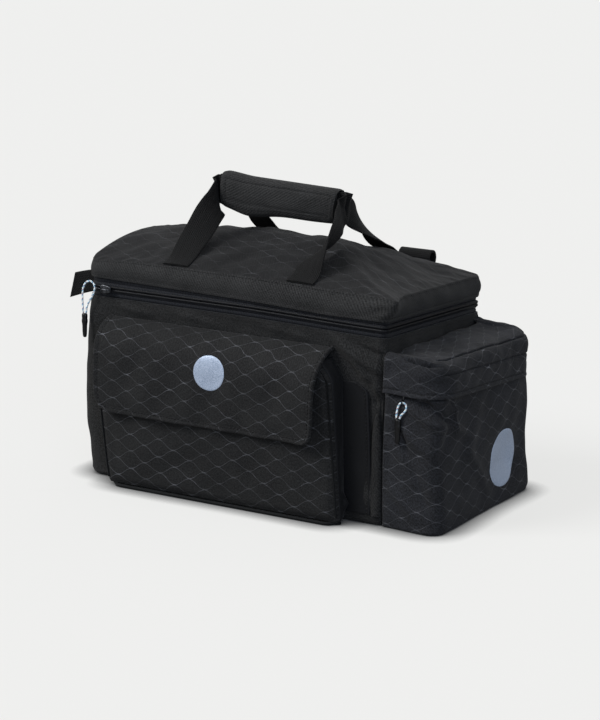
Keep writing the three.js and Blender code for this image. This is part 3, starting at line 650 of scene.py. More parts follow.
def finish(name):
    """The material of that name, made on first use from the scene's colour settings."""
    if name not in MADE:
        colours = bpy.context.scene.bag_colours
        maker, dark, light, settings = FINISHES[name]
        if "net" in settings:
            settings = dict(settings, net=dict(settings["net"], colour=colours.net_line))
        shades = [getattr(colours, shade, shade) for shade in (dark, light)]
        MADE[name] = maker(name.replace("_", " ").capitalize(), *shades, **settings)
    return MADE[name]


# Main compartment

WALL, ROUND = 4.0, 5.0


def perimeter(step=2.0):
    """Even distances round the compartment, from the middle of its left end and back."""
    return np.linspace(0.0, PLAN.length, int(PLAN.length / step) + 1)


def ring_shares(s, inset=0.0):
    """Outline point, its normal, and its place as shares along (u) and across (v)."""
    x, y, nx, ny = PLAN.at(s, inset)
    bx, by, _, _ = PLAN.at(s)
    return x, y, nx, ny, share_along(bx), by / HALF


def medial(x):
    """The middle line that base, floor and lid close on: y is 0 and x stays clear of the ends."""
    return np.clip(x, HALF - LEFT, RIGHT - HALF)


FRONT_CREASES = (
    ((102.0, 150.0), (141.0, 130.0), 3.2, 1.9), ((108.0, 143.0), (142.0, 112.0), 3.4, 1.7),
    ((106.0, 155.0), (141.0, 144.0), 2.6, -1.5), ((113.0, 136.0), (141.0, 96.0), 3.2, -1.6),
    ((120.0, 126.0), (142.0, 84.0), 3.4, 1.3), ((-146.0, 150.0), (-128.0, 120.0), 5.0, 0.8),
    ((20.0, 158.0), (70.0, 150.0), 3.0, 0.8), ((-60.0, 157.0), (-20.0, 151.0), 3.0, 0.7),
    ((84.0, 158.0), (132.0, 149.0), 2.4, 1.1), ((-120.0, 156.0), (-84.0, 151.0), 3.0, 0.8),
)


def body_relief(s, x, ny, z, rim):
    """Waves of the padded wall, the stitched groove below the rim, the pressed seam beside each
    right corner, and creases that pull from the flap's corner."""
    out = looped(lambda at: folds(at, z, 3, 95.0, 0.9) + folds(at, z, 5, 30.0, 0.4), s, PLAN.length)
    out = out - 0.8 * bump(z, rim - 3.0, 0.8) + 0.4 * bump(z, rim - 0.8, 1.2)
    near_face = smooth(0.5, 0.9, np.abs(ny))
    out = out - 1.2 * bump(x, 141.8, 1.0) * near_face
    # No creases where the smooth patch or the upright fold lies on the wall
    covered = np.maximum(smooth(137.0, 133.0, x) * smooth(125.0, 120.0, z), smooth(106.0, 98.0, z))
    pulls = 2.4 * (1.0 - covered) * sum(crease(x, z, *row) for row in FRONT_CREASES)
    fade = smooth(0.0, 12.0, z) * smooth(0.0, 8.0, rim - z)
    return fade * (out + pulls * near_face)


def body_wall(s, z, inset=0.0, relief=True):
    """Wall of the compartment: outline, swollen left end and relief along the normal."""
    x, y, nx, ny, u, v = ring_shares(s, inset)
    rim = RIM - drop(u, v)
    swell = np.maximum(0.0, np.sin(math.pi * np.minimum(1.0, z / RIM))) ** 0.7
    bulge = 8.5 * swell * smooth(0.82, 1.0, -u) * (1.0 - 0.3 * v * v)
    out = body_relief(s, x, ny, z, rim) if relief else 0.0
    return stack(x + nx * out - bulge, y + ny * out, z)


def make_body():
    """Padded tub: base plate, round edge and wall outside, then lining down to the inner floor."""
    s = perimeter()[None]
    x, _, _, _, u, v = ring_shares(s)
    rim = RIM - drop(u, v)
    t = np.array([0.0, 0.35, 0.7, 1.0])[:, None]
    px, py, _, _ = PLAN.at(s, ROUND)
    base = stack(lerp(medial(x), px, t), t * py, 0.0)
    turn = np.radians(np.linspace(0.0, 90.0, 8))[1:-1, None]
    tx, ty, _, _ = PLAN.at(s, ROUND * (1.0 - np.sin(turn)))
    edge = stack(tx, ty, ROUND * (1.0 - np.cos(turn)))
    level = np.linspace(0.0, 1.0, 74)[:, None]
    wall = body_wall(s, lerp(ROUND, rim, level))
    outer = np.concatenate([base, edge, wall])
    inner_level = np.array([1.0, 0.75, 0.5, 0.25, 0.0])[:, None]
    lining = body_wall(s, lerp(WALL + 1.0, rim, inner_level), WALL, relief=False)
    ix, iy, _, _ = PLAN.at(s, WALL + 1.0)
    floor = stack(lerp(ix, medial(x), t), lerp(iy, 0.0, t), WALL)
    inner = np.concatenate([wall[-1:], lining, floor])
    # The map's height is the distance walked up one column of the near side.
    patches = [(grid, stack(s, walked(grid[:, 40])[:, None]), index) for index,
               grid in enumerate((outer, inner))]
    build("body_shell", patches, ["twill_polyester", "nylon_lining"], ["main_body"],
          crisp=50)


THREAD_LIFT = 0.1


def stitch_line(surface_at, s, level):
    """Points and normals for stitches on a wall that follows the compartment's outline."""
    _, _, nx, ny = PLAN.at(s)
    normal = stack(nx, ny, 0.0)
    return surface_at(s, level) + THREAD_LIFT * normal, normal


def s_at(x, side):
    """Distance round the compartment of a point on a long side (-1 near, 1 far)."""
    near = np.interp(x, PLAN.x[25:28], PLAN.s[25:28])
    return near if side < 0 else PLAN.length - near


def make_body_stitches():
    """Topstitching below the rim and beside the upright seams at the right corners."""
    s = perimeter(1.5)
    _, _, _, _, u, v = ring_shares(s)
    rows = [stitch_line(body_wall, s, RIM - drop(u, v) - 3.0)]
    for side, top in ((-1, 152.0), (1, 145.0)):
        rows.append(stitch_line(body_wall, np.full(120, s_at(138.6, side)), np.linspace(6.0, top, 120)))
    build_stitches("body_stitches", rows)


# Lid

BAND_HEIGHT, LID_THICK = 21.0, 4.5
LID_CREASES = (
    ((134.0, -74.0), (64.0, -22.0), 5.0, 2.4), ((132.0, -34.0), (76.0, -4.0), 5.5, -2.2),
    ((134.0, 20.0), (75.0, 12.0), 6.0, 2.0), ((104.0, -78.0), (78.0, -44.0), 4.5, -1.9),
    ((120.0, -80.0), (92.0, -50.0), 3.5, 1.5), ((88.0, -80.0), (66.0, -52.0), 3.5, 1.5),
    ((88.0, -82.0), (80.0, -62.0), 6.5, -3.0), ((130.0, -60.0), (96.0, -34.0), 3.5, -1.3),
    ((30.0, -80.0), (10.0, -44.0), 6.0, -2.0), ((12.0, -80.0), (-6.0, -52.0), 4.0, 1.4),
    ((-26.0, -80.0), (-6.0, -50.0), 5.0, -1.5), ((-40.0, -78.0), (-14.0, -40.0), 8.0, 2.6),
    ((-100.0, -78.0), (-80.0, -30.0), 7.0, -1.9), ((-122.0, -76.0), (-104.0, -36.0), 6.0, 1.5),
    ((-140.0, -40.0), (-110.0, -10.0), 7.0, 1.6), ((-145.0, -10.0), (-110.0, 8.0), 5.0, -1.3),
    ((85.0, -60.0), (140.0, -60.0), 4.0, 1.4), ((48.0, 60.0), (20.0, 20.0), 8.0, -1.5),
    ((0.0, 0.0), (60.0, 6.0), 9.0, -1.6), ((-70.0, 60.0), (-30.0, 30.0), 8.0, 1.2),
    ((138.0, 50.0), (90.0, 34.0), 5.0, -1.8), ((126.0, 70.0), (84.0, 50.0), 5.0, 1.5),
)


def dome(s, q):
    """Top of the lid: rings between the seam (q 0) and the middle line (q 1).

    Each ring is the outline drawn towards the middle line and slowly rounded to a circle at the
    ends. Its height mixes seam and crest by 1 - (1 - q)^1.5, with cloth waves and creases added.
    """
    x, y, _, _, u, v = ring_shares(s, 2.0)
    mx = medial(x)
    wx, wy = x - mx, y
    reach = np.hypot(wx, wy)
    round_reach = lerp(reach, HALF - 2.0, smooth(0.0, 0.8, q))
    px = mx + wx / reach * round_reach * (1.0 - q)
    py = wy / reach * round_reach * (1.0 - q)
    height = lerp(lid_seam(u, v), lid_crest(share_along(px)), 1.0 - (1.0 - q) ** 1.5)
    waves = folds(px, py, 11, 70.0, 1.4) + folds(px, py, 17, 26.0, 0.45)
    waves = waves + 0.38 * sum(crease(px, py, *row) for row in LID_CREASES)
    pucker = looped(lambda at: np.sin(at / 3.1 + 1.9 * np.sin(at / 19.0)) + 0.5 * np.sin(at / 1.7), s,
                    PLAN.length, 8.0)
    pucker = pucker * np.exp(-q * HALF / 7.0) * smooth(0.0, 0.03, q)
    fade = smooth(0.0, 0.16, q)
    settle = 1.5 * smooth(0.0, 0.3, q)
    flare = corner_flare(s) * (1.0 - smooth(0.0, 0.25, q))
    return stack(px + flare * np.sign(x), py, height + fade * waves + 0.5 * pucker - settle)


def corner_flare(s):
    """How far the lid's seam leans out at the two right corners, where the panel is stiff."""
    return 11.5 * bump(s, s_at(145.0, -1), 20.0) + 2.0 * bump(s, s_at(145.0, 1), 18.0)


def lid_band(s, t):
    """Band of the lid from its lower edge (t 0) to the seam (t 1): a slight swell, leaning in to
    the seam, with a turned edge, its stitch groove and small gathers under the seam."""
    x, y, nx, ny, u, v = ring_shares(s)
    flare = corner_flare(s) * smooth(0.0, 1.0, t)
    inset = -1.7 * np.sin(math.pi * t) + 2.0 * t * t
    z = lerp(lid_edge(u, v), lid_seam(u, v), t)
    height = z - lid_edge(u, v)
    out = 0.35 * bump(height, 1.0, 1.2) - 0.45 * bump(height, 3.4, 0.7)
    gather = looped(lambda at: np.sin(at / 2.1 + 2.0 * np.sin(at / 31.0)), s, PLAN.length, 8.0)
    gather = gather * smooth(0.55, 0.95, t) * smooth(1.0, 0.97, t)
    soft = looped(lambda at: folds(at, height, 23, 34.0, 0.5), s, PLAN.length) * np.sin(math.pi * t)
    corner = s - s_at(143.0, -1)
    wrinkle = 0.9 * bump(corner, 0.0, 16.0) * np.sin((height - 0.35 * corner) / 2.2) * np.sin(math.pi * t)
    out = out + 0.22 * gather + soft + wrinkle
    return stack(x + nx * (out - inset) + flare * np.sign(x), y + ny * (out - inset), z)


def make_lid():
    """Lid: lining inside, turned lower edge, twill band and a domed top of net cloth."""
    s = perimeter()[None]
    t = np.linspace(0.0, 1.0, 16)[:, None]
    band = lid_band(s, t)
    q = np.concatenate([np.linspace(0.0, 0.12, 8), np.linspace(0.15, 1.0, 42)])[:, None]
    top = dome(s, q)
    top[-1, :, 1] = 0.0
    top[-1, :, 2] = np.interp(top[-1, :, 0], *ridge(top[-1]))
    under = dome(s, np.array([1.0, 0.9, 0.75, 0.5, 0.25, 0.0])[:, None])
    under[0] = top[-1]
    under[..., 2] -= LID_THICK
    x, y, _, _, u, v = ring_shares(s, 3.0)
    under[-1] = stack(*PLAN.at(s[0], 5.0)[:2], (lid_seam(u, v) - 3.0)[0])
    edge = lid_edge(u, v)
    inside = np.concatenate([
        under, stack(x, y, lerp(edge, lid_seam(u, v), 0.5)), stack(x, y, edge), band[:1]])
    row = np.arange(len(inside))[:, None] * 12.0
    # The net follows the panel itself, so its map is plain width and depth of the lid.
    net_map = top[..., :2] * np.array([1.0, 1.04])
    build("lid_band", [(band, stack(s, t * BAND_HEIGHT), 0), (inside, stack(s, row), 1)],
          ["brushed_twill", "nylon_lining"], crisp=60)
    # The lid's top takes a darker copy of the net cloth with a fainter net: painted shade
    build("lid_top", [(top, net_map, 0)], ["lid_net_polyester"], ["lid"])


def ridge(row):
    """x and height along the ridge row, averaged over its front and back halves."""
    order = np.argsort(row[:, 0], kind="stable")
    xs = row[order, 0] + 1e-6 * np.arange(len(order))
    return xs, np.convolve(np.pad(row[order, 2], 8, mode="edge"), np.ones(17) / 17.0, mode="valid")


def make_lid_stitches():
    """Topstitching on the band: above its lower edge and under the seam."""
    rows = [stitch_line(lid_band, perimeter(1.5), share) for share in (3.4 / BAND_HEIGHT, 0.93)]
    build_stitches("lid_stitches", rows)


# Main zip

HINGE_HALF = 62.0


def zip_run(step):
    """Distances round the compartment that the zip covers, from the hinge's end to its other."""
    return np.linspace(HINGE_HALF, PLAN.length - HINGE_HALF, int((PLAN.length - 2 * HINGE_HALF) / step))


def zip_level(s):
    """Height of the zip's middle line."""
    _, _, _, _, u, v = ring_shares(s)
    return ZIP - drop(u, v)


def make_tape(name, s, low, high, lip, cad_tape, inset=1.9):
    """Tape between two heights: flat, with a lip along the edge that carries the coil (1 its upper
    edge, -1 its lower one)."""
    t = stations(1.0, 0.12, 0.08)[:, None]
    z = lerp(low[None], high[None], t)
    x, y, nx, ny = PLAN.at(s[None], inset)
    near = t if lip > 0 else 1.0 - t
    out = 0.9 * bump(near, 0.8, 0.12) - 0.8 * bump(near, 0.5, 0.1) + folds(s[None], z, 31, 24.0, 0.12)
    build_sheet(name, stack(x + nx * out, y + ny * out, z), stack(s[None], z), (1.1, 0.5),
                ["polyester_zip_tape"], [cad_tape])


def make_coil(name, path, outward, half, cad_coil):
    """Nylon coil: two rounded rows side by side, each ribbed by its turns.

    A row's section is a half circle of radius 0.46 half, and its radius swells and shrinks with
    the turns by 1 + 0.1 sin(2 pi s / pitch). The rows' turns are half a pitch apart.
    """
    pitch = 1.9
    steps = walked(path)
    s = np.arange(0.0, steps[-1], 0.38)
    at = looked_up(np.interp, s, steps, path)
    out = looked_up(np.interp, s, steps, outward)
    up = np.cross(out, unit(np.gradient(at, axis=0)))
    turn = np.linspace(-0.15 * math.pi, 1.15 * math.pi, 10)
    patches = []
    for hand, phase in ((1.0, 0.0), (-1.0, 0.5)):
        swell = 1.0 + 0.1 * np.sin(2.0 * math.pi * (s / pitch + phase))
        radius = 0.46 * half * swell[:, None]
        side = hand * 0.52 * half + radius * np.cos(turn)[None]
        lift = radius * np.sin(turn)[None] * 0.9
        grid = at[:, None] + side[..., None] * up[:, None] + lift[..., None] * out[:, None]
        patches.append((grid, stack(side, s[:, None]), 0))
    build(name, patches, ["nylon_coil"], [cad_coil])


def make_zip():
    """Both tapes, the coil between them and the cloth hinge."""
    s = zip_run(3.0)
    _, _, _, _, u, v = ring_shares(s)
    middle = zip_level(s)
    make_tape("lower_tape", s, RIM - drop(u, v) + 0.4, middle - 1.2, 1, "zip_tape_lower")
    make_tape("upper_tape", s, middle + 1.2, lid_edge(u, v) - 0.4, -1, "zip_tape_upper")
    s = zip_run(1.0)
    x, y, nx, ny = PLAN.at(s, 0.9)
    make_coil("zip_teeth", stack(x, y, zip_level(s)), stack(nx, ny, 0.0), 2.6, "zip_coil")
    s = np.linspace(1.5 - HINGE_HALF, HINGE_HALF - 1.5, 62)[None]
    x, y, _, _ = PLAN.at(np.abs(s), 2.3)
    z = lerp(RIM + 0.5, EDGE + 2.0, stations(1.0, 0.1, 0.06)[:, None])
    grid = stack(x - folds(s, z, 41, 18.0, 0.3), y * np.sign(s), z)
    build_sheet("hinge_cloth", grid, stack(s, z), (1.8, 0.8), ["twill_polyester"],
                ["lid_hinge"])


# Flap pockets

FLAP_OUT = ((0.0, 0.0), (0.04, 0.36), (0.11, 0.66), (0.2, 0.87), (0.32, 0.97), (0.5, 1.0),
            (0.75, 1.0), (0.9, 0.99), (1.0, 0.98))
FLAP_TOP, FLAP_HEM, FLAP_REACH, FLAP_THICK = 147.0, 68.0, 29.0, 2.5


def flap_curve():
    """Side view of the flap by distance down it: table of distance, drop share and reach share."""
    table = np.array(FLAP_OUT)
    steps = np.hypot(np.diff(table[:, 0]) * (FLAP_TOP - FLAP_HEM), np.diff(table[:, 1]) * FLAP_REACH)
    return np.concatenate([[0.0], np.cumsum(steps)]), table[:, 0], table[:, 1]


FLAP_STEPS, FLAP_FALL, FLAP_STAND = flap_curve()
FLAP_LENGTH = FLAP_STEPS[-1]
FLAP_LEFT, FLAP_RIGHT, FLAP_FLAT = -124.0, 98.0, 220.0
FLAP_SLOPE_STEP = (0.003, 0.5)


def flap_face(a, b):
    """Middle surface of the near flap. a is the share across and b the distance down from the
    seam. The lower corners follow a circle, the right edge lifts, and soft waves run down."""
    fall = through(b, FLAP_STEPS, FLAP_FALL)
    stand = through(b, FLAP_STEPS, FLAP_STAND)
    corners = []
    for radius in (17.0, 10.0):
        deep = np.clip(b - (FLAP_LENGTH - radius), 0.0, radius)
        corners.append(radius - np.sqrt(np.maximum(0.0, radius ** 2 - deep ** 2)))
    left = FLAP_LEFT + 0.5 * fall + corners[0]
    right = FLAP_RIGHT - 4.0 * fall - corners[1]
    x = lerp(left, right, a)
    lifted = 4.0 * smooth(0.8, 1.0, a) * smooth(0.1, 0.4, fall)
    hang = smooth(0.15, 0.9, fall)
    waves = folds(x, b, 51, 85.0, 1.1) * hang + folds(x, b, 53, 30.0, 0.55)
    dent = 0.9 * bump(x, -112.0, 9.0) * bump(b, 22.0, 12.0) - 1.2 * bump(x, -60.0, 26.0) * bump(b, 30.0,
                                                                                                16.0)
    y = FACE + stand * FLAP_REACH + lifted - 0.5 * FLAP_THICK + (waves + dent) * smooth(0.0, 0.12, fall)
    return stack(x, -np.maximum(FACE + 0.8, y), lerp(FLAP_TOP - 1.0, FLAP_HEM, fall))


def make_flap(side, name):
    """Flap: net cloth turned over all free edges, with a lining behind."""
    a = stations(FLAP_FLAT, 2.6, 6.0)[None] / FLAP_FLAT
    b = stations(FLAP_LENGTH, 2.0, 6.0)[:, None]
    grid = flap_face(a, b)
    hem = np.minimum(np.minimum(a * FLAP_FLAT, (1.0 - a) * FLAP_FLAT), FLAP_LENGTH - b)
    pressed = 1.0 * bump(hem, 2.0, 1.7) - 1.5 * bump(hem, 4.5, 0.8)
    piece = build_sheet(f"{name}_flap_cloth", grid, stack(grid[..., 0], -b),
                        (FLAP_THICK, 1.3, pressed, -1.0),
                        ["net_polyester", "nylon_lining"], [f"{name}_flap"], side)
    inset = 4.3
    near, far = inset / FLAP_FLAT, 1.0 - inset / FLAP_FLAT
    down = np.linspace(8.0, FLAP_LENGTH - inset, 60)
    lines = [(np.full(60, near), down), (np.linspace(near, far, 120), np.full(120, FLAP_LENGTH - inset)),
             (np.full(60, far), down[::-1])]
    rows = []
    for line_a, line_b in lines:
        at, normal = on_flap(line_a, line_b)
        rows.append((mirrored(at + normal * (0.5 * FLAP_THICK - 0.35), side), mirrored(normal, side)))
    build_stitches(f"{name}_flap_stitches", rows)


def on_flap(a, b):
    """Points of the flap and their outward normals: the cross product of the surface's slopes."""
    at = flap_face(a, b)
    slope_a = flap_face(a + FLAP_SLOPE_STEP[0], b) - at
    slope_b = flap_face(a, b + FLAP_SLOPE_STEP[1]) - at
    normal = unit(np.cross(slope_b, slope_a))
    return at, np.where(normal[:, 1:2] > 0.0, -normal, normal)


P_LEFT, P_RIGHT, P_LOW, P_TOP, P_DEPTH, P_ROUND = -121.0, 111.0, 2.0, 130.0, 19.0, 5.0


def pocket_front(a, z):
    """Front panel of the near pocket: sides that lean together towards the base on the left and
    towards the top on the right, small lower corners, an edge rolled back by a quarter circle, a
    low bulge in the middle and cloth waves."""
    corner = 4.0 * (1.0 - quarter((z - P_LOW) / 4.0))
    left = P_LEFT - 3.5 + 9.5 * np.clip(1.0 - z / 72.0, 0.0, 1.0) ** 1.2 + corner
    right = lerp(114.0, 102.0, z / P_TOP) - corner - 9.0 * smooth(114.0, 136.0, z) ** 2
    x = lerp(left, right, a)
    border = np.minimum(np.minimum(x - left, right - x), z - P_LOW)
    roll = P_ROUND * quarter(border / P_ROUND)
    share = np.clip(border / 64.0, 0.0, 1.0)
    upright = np.clip((z - P_LOW) / (P_TOP - P_LOW), 0.0, 1.0)
    bulge = 5.0 * (1.0 - (1.0 - share) ** 2.2) * (1.0 - 0.8 * smooth(0.75, 1.0, upright))
    waves = (folds(x, z, 61, 100.0, 1.1) + folds(x, z, 67, 34.0, 0.5)) * smooth(0.0, 14.0, border)
    seam = -1.7 * bump(border, 2.9, 0.8)
    return stack(x, -(FACE + P_DEPTH - P_ROUND + roll + bulge + waves + seam), z)


def make_pocket(side, name):
    """Pocket: front panel of net cloth and a gusset of coated cloth round three sides."""
    a = stations(232.0, 3.0, 5.0)[None] / 232.0
    rolled = P_ROUND * np.array([0.0, 0.04, 0.15, 0.35, 0.65])
    z = P_LOW + np.concatenate([rolled, np.linspace(P_ROUND, P_TOP - P_LOW, 50)])[:, None]
    z = z + 7.0 * smooth(0.9, 1.0, a) * smooth(90.0, P_TOP, z)
    front = pocket_front(a, z)
    border = np.concatenate([front[::-1, 0], front[0, 1:-1], front[:, -1]])
    d = walked(border)[None]
    # The gusset: from the body's face (t 0) to the front panel's border (t 1). Its right side
    # stands on the body along a line of its own, it swells in between, and it has a folded ear
    # near the lower right corner.
    t = 0.5 - 0.5 * np.cos(math.pi * np.linspace(0.0, 1.0, 18))[:, None]
    x, y, level = border.T[:, None]
    wall = 109.5 - 4.5 * level / P_TOP - 8.0 * smooth(114.0, 136.0, level) ** 2
    held = np.where(x > 90.0, lerp(wall, x, smooth(0.0, 1.0, t)), x)
    tangent = np.gradient(border, axis=0)
    outward = unit(stack(tangent[:, 2], 0.0, -tangent[:, 0]))
    fat = (1.2 + 1.2 * np.clip(level / P_TOP, 0.0, 1.0)) * (4.0 * t * (1.0 - t)) ** 0.45
    fat = fat * smooth(0.0, 3.0, level - P_LOW) + folds(d, t * 20.0, 71, 26.0, 0.25) * np.sin(math.pi * t)
    ear = 5.5 * np.clip(1.0 - np.abs(level - 17.0) / 10.0, 0.0, 1.0) * bump(t, 0.35, 0.25)
    fat = fat + ear * smooth(0.9, 1.0, outward[None, :, 0])
    gusset = stack(held, lerp(-FACE, y, t), level) + fat[..., None] * outward[None]
    gusset[-1] = border
    # Near-black tube along the base: partly the real binding, partly a painted contact shadow under the
    # pocket
    run = np.linspace(-113.0, 113.0, 60)
    hem = stack(run, 9.0 * smooth(100.0, 113.0, np.abs(run)) ** 2 - (FACE + P_DEPTH + 1.5), 1.6)
    binding_and_shade_tubes = [tube(mirrored(hem, side), 1.5, 10)]
    # Thin near-black tubes along both side seams: painted seam shadow
    up = np.linspace(7.0, 122.0, 60)
    for share in (0.006, 0.994):
        seam = pocket_front(np.full(60, share), up) - [0.0, 0.25, 0.0]
        binding_and_shade_tubes.append(tube(mirrored(seam, side), 0.8, 8))
    build(f"{name}_pocket_binding", binding_and_shade_tubes, ["bound_edge"])
    piece = build(f"{name}_pocket_cloth", [
        (mirrored(front, side), front[..., ::2], 0), (mirrored(gusset, side), stack(d, t * P_DEPTH), 1),
    ], ["net_polyester", "coated_polyester", "nylon_lining"], [f"{name}_pocket"], crisp=55)
    thicken(piece, 1.4)


def make_patch(side, name, end):
    """Flat patch of coated cloth beside the pocket, with a leaning, rounded outer edge."""
    hand, low, limit = ("left", P_LEFT - 0.3, 129.5) if end < 0 else ("right", P_RIGHT - 7.5, 134.5)
    z = 9.0 + stations(111.0, 3.0, 3.0)[:, None]
    share = (z - 9.0) / 111.0
    rounding = 1.0 - np.sqrt(1.0 - 0.96 * smooth(0.9, 1.0, share) ** 2)
    width = abs(limit - abs(low)) * (1.0 - 0.16 * share ** 2 - 0.4 * rounding)
    a = stations(1.0, 0.12, 0.1)[None]
    x = low + end * width * a
    grid = stack(x, -(FACE + 0.75 + folds(x, z, 77, 40.0, 0.15)), z)
    hem = (1.0 - a) * width
    pressed = 0.3 * bump(hem, 1.2, 1.2) - 0.4 * bump(hem, 3.0, 0.6)
    build_sheet(f"{name}_{hand}_patch_cloth", grid, stack(x, z), (1.2, 0.7, pressed, end),
                ["coated_polyester"], [f"{name}_patch_{hand}"], side)
    line = stack(low + end * (width - 3.0)[:, 0], -(FACE + 1.35), z[:, 0])
    return mirrored(line, side), mirrored(facing(len(line)), side)


def facing(count):
    """Normals that face the near side."""
    return np.tile([0.0, -1.0, 0.0], (count, 1))


def make_fold(side, name):
    """Tube-like upright fold: a half ellipse that grows thin towards its top."""
    t = np.linspace(0.0, 1.0, 50)[:, None]
    size = np.sqrt(np.maximum(0.02, 1.0 - (2.0 * np.maximum(0.0, t - 0.5)) ** 3))
    angle = np.linspace(0.0, math.pi, 15)[None]
    z = lerp(9.0, 96.0, t)
    sway = 0.5 * np.sin(z / 17.0)
    x = 139.0 + sway - 4.2 * size * np.cos(angle)
    out = 3.0 * size * np.sin(angle) + folds(x, z, 83, 30.0, 0.15) * np.sin(angle)
    grid = stack(x, -(FACE + out - 0.1), z)
    back = stack(x, -(FACE - 0.1), z)
    uv = stack(x, z)
    parts = [(grid, uv), (back, uv)] + [(np.stack([grid[k], back[k]]),
                                         np.stack([uv[k], uv[k]])) for k in (0, -1)]
    build(f"{name}_fold_cloth", [(mirrored(points, side), places, 0) for points, places in parts],
          ["twill_polyester"], [f"{name}_corner_fold"], crisp=60)


# End pocket

E_BACK, E_FACE, E_SIDE, E_RIM = 145.3, 195.0, 85.0, 114.0
END_PLAN = Outline(E_BACK, E_FACE, -E_SIDE, E_SIDE, (0.01, 10.0, 10.0, 0.01))
E_START = E_SIDE + 0.01
HOOD_PLAN = Outline(E_BACK, E_FACE, -E_SIDE, E_SIDE, (0.01, 18.0, 18.0, 0.01))
HOOD_TOP, HOOD_SHOULDER, HOOD_PROUD = 147.5, 129.0, 4.8

END_CREASES = (
    ((30.0, 113.0), (62.0, 94.0), 2.8, -3.2), ((22.0, 106.0), (54.0, 88.0), 3.4, 2.6),
    ((40.0, 118.0), (72.0, 101.0), 3.4, 2.4), ((4.0, 74.0), (34.0, 52.0), 5.0, 1.6),
    ((8.0, 100.0), (22.0, 66.0), 2.6, -1.6), ((46.0, 110.0), (92.0, 102.0), 3.0, -1.6),
    ((10.0, 90.0), (44.0, 66.0), 3.6, 1.6), ((26.0, 60.0), (44.0, 16.0), 4.0, -1.4),
    ((4.0, 40.0), (30.0, 14.0), 4.0, 1.3), ((60.0, 92.0), (100.0, 72.0), 4.0, 1.6),
    ((70.0, 108.0), (74.0, 84.0), 3.0, 1.4), ((96.0, 60.0), (130.0, 24.0), 6.0, 1.3),
    ((66.0, 100.0), (50.0, 60.0), 6.0, -1.0), ((190.0, 20.0), (150.0, 60.0), 9.0, -1.0),
    ((120.0, 100.0), (90.0, 50.0), 9.0, 1.0),
)


def end_run(step):
    """Distances round the end pocket's three free sides, from its near to its far back edge."""
    return np.linspace(E_START, END_PLAN.length - E_START, int((END_PLAN.length - 2 * E_START) / step))


def wall_place(s, half):
    """Place across the body's end wall that a column round the pocket closes on. It is the share
    of the way round, so neighbouring columns never meet, and side columns keep near the sides."""
    way = (s - E_START) / (END_PLAN.length - 2.0 * E_START)
    return half * np.interp(way, (0.0, 0.17, 0.83, 1.0), (-1.0, -0.86, 0.86, 1.0))


def end_wall(s, z):
    """Wall of the end pocket: outline with a slight swell, cloth waves and creases. The creases
    are placed by distance round the pocket from its near back edge, and height."""
    x, y, nx, ny = END_PLAN.at(s)
    d = s - E_START
    swell = 2.0 * np.sin(math.pi * np.clip(z / E_RIM, 0.0, 1.0))
    swell = swell + 3.0 * smooth(40.0, 0.0, z) * smooth(0.0, 40.0, d)
    out = folds(s, z, 91, 80.0, 1.1) + folds(s, z, 97, 27.0, 0.35)
    out = out + 1.6 * sum(crease(d, z, *row) for row in END_CREASES)
    corner = -0.6 * bump(d, 45.5, 0.9) - 0.6 * bump(d, 2 * (END_PLAN.length / 2 - E_START) - 45.5, 0.9)
    under_hood = lerp(4.0, 18.0, smooth(60.0, 200.0, d))
    fade = smooth(0.0, 8.0, z) * smooth(E_RIM, E_RIM - under_hood, z) * smooth(0.0, 6.0, d)
    fade = fade * smooth(0.0, 6.0, END_PLAN.length - E_START - s)
    out = swell + fade * out + 0.4 * corner
    return stack(x + nx * out, y + ny * out, z)


def make_end_pocket():
    """End pocket: base, round edge and wall of net cloth, open at the top and at the back."""
    s = end_run(1.6)[None]
    # The base turns up in a quarter circle of this radius, from the flared foot of the wall
    turn_up = 3.0
    foot = end_wall(s, np.full_like(s, turn_up))
    _, _, nx, ny = END_PLAN.at(s)
    t = np.array([0.0, 0.5, 1.0])[:, None]
    x, y = foot[..., 0] - turn_up * nx, foot[..., 1] - turn_up * ny
    base = stack(lerp(E_BACK, x, t), lerp(wall_place(s, E_SIDE - turn_up), y, t), 0.0)
    turn = np.radians(np.linspace(0.0, 90.0, 7))[1:-1, None]
    back = turn_up * (1.0 - np.sin(turn))
    edge = stack(foot[..., 0] - back * nx, foot[..., 1] - back * ny, turn_up * (1.0 - np.cos(turn)))
    z = np.linspace(turn_up, E_RIM, 66)[:, None]
    wall = end_wall(s, z)
    grid = np.concatenate([base, edge, wall])
    grid[..., 0] = np.maximum(grid[..., 0], E_BACK)
    up = np.concatenate([[-30.0, -15.0, 0.0], np.linspace(0.0, turn_up, 7)[1:-1], z[:, 0]])[:, None]
    # The end pocket's cloth is the panels' net with a painted bluish sheen in its colour
    piece = build("end_pocket_cloth", [(grid, stack(s, up), 0)],
                  ["end_net_polyester", "nylon_lining"], ["end_pocket"])
    thicken(piece, 1.6, 1)


def hood_hem(x, y):
    """Height of the hood's hem: it slants along the end face."""
    away = np.clip((x - RIGHT) / 50.0, 0.0, 1.2)
    return 112.0 - away * (3.5 + 6.5 * y / E_SIDE) + 3.0 * (1.0 - smooth(0.0, 0.8, away))


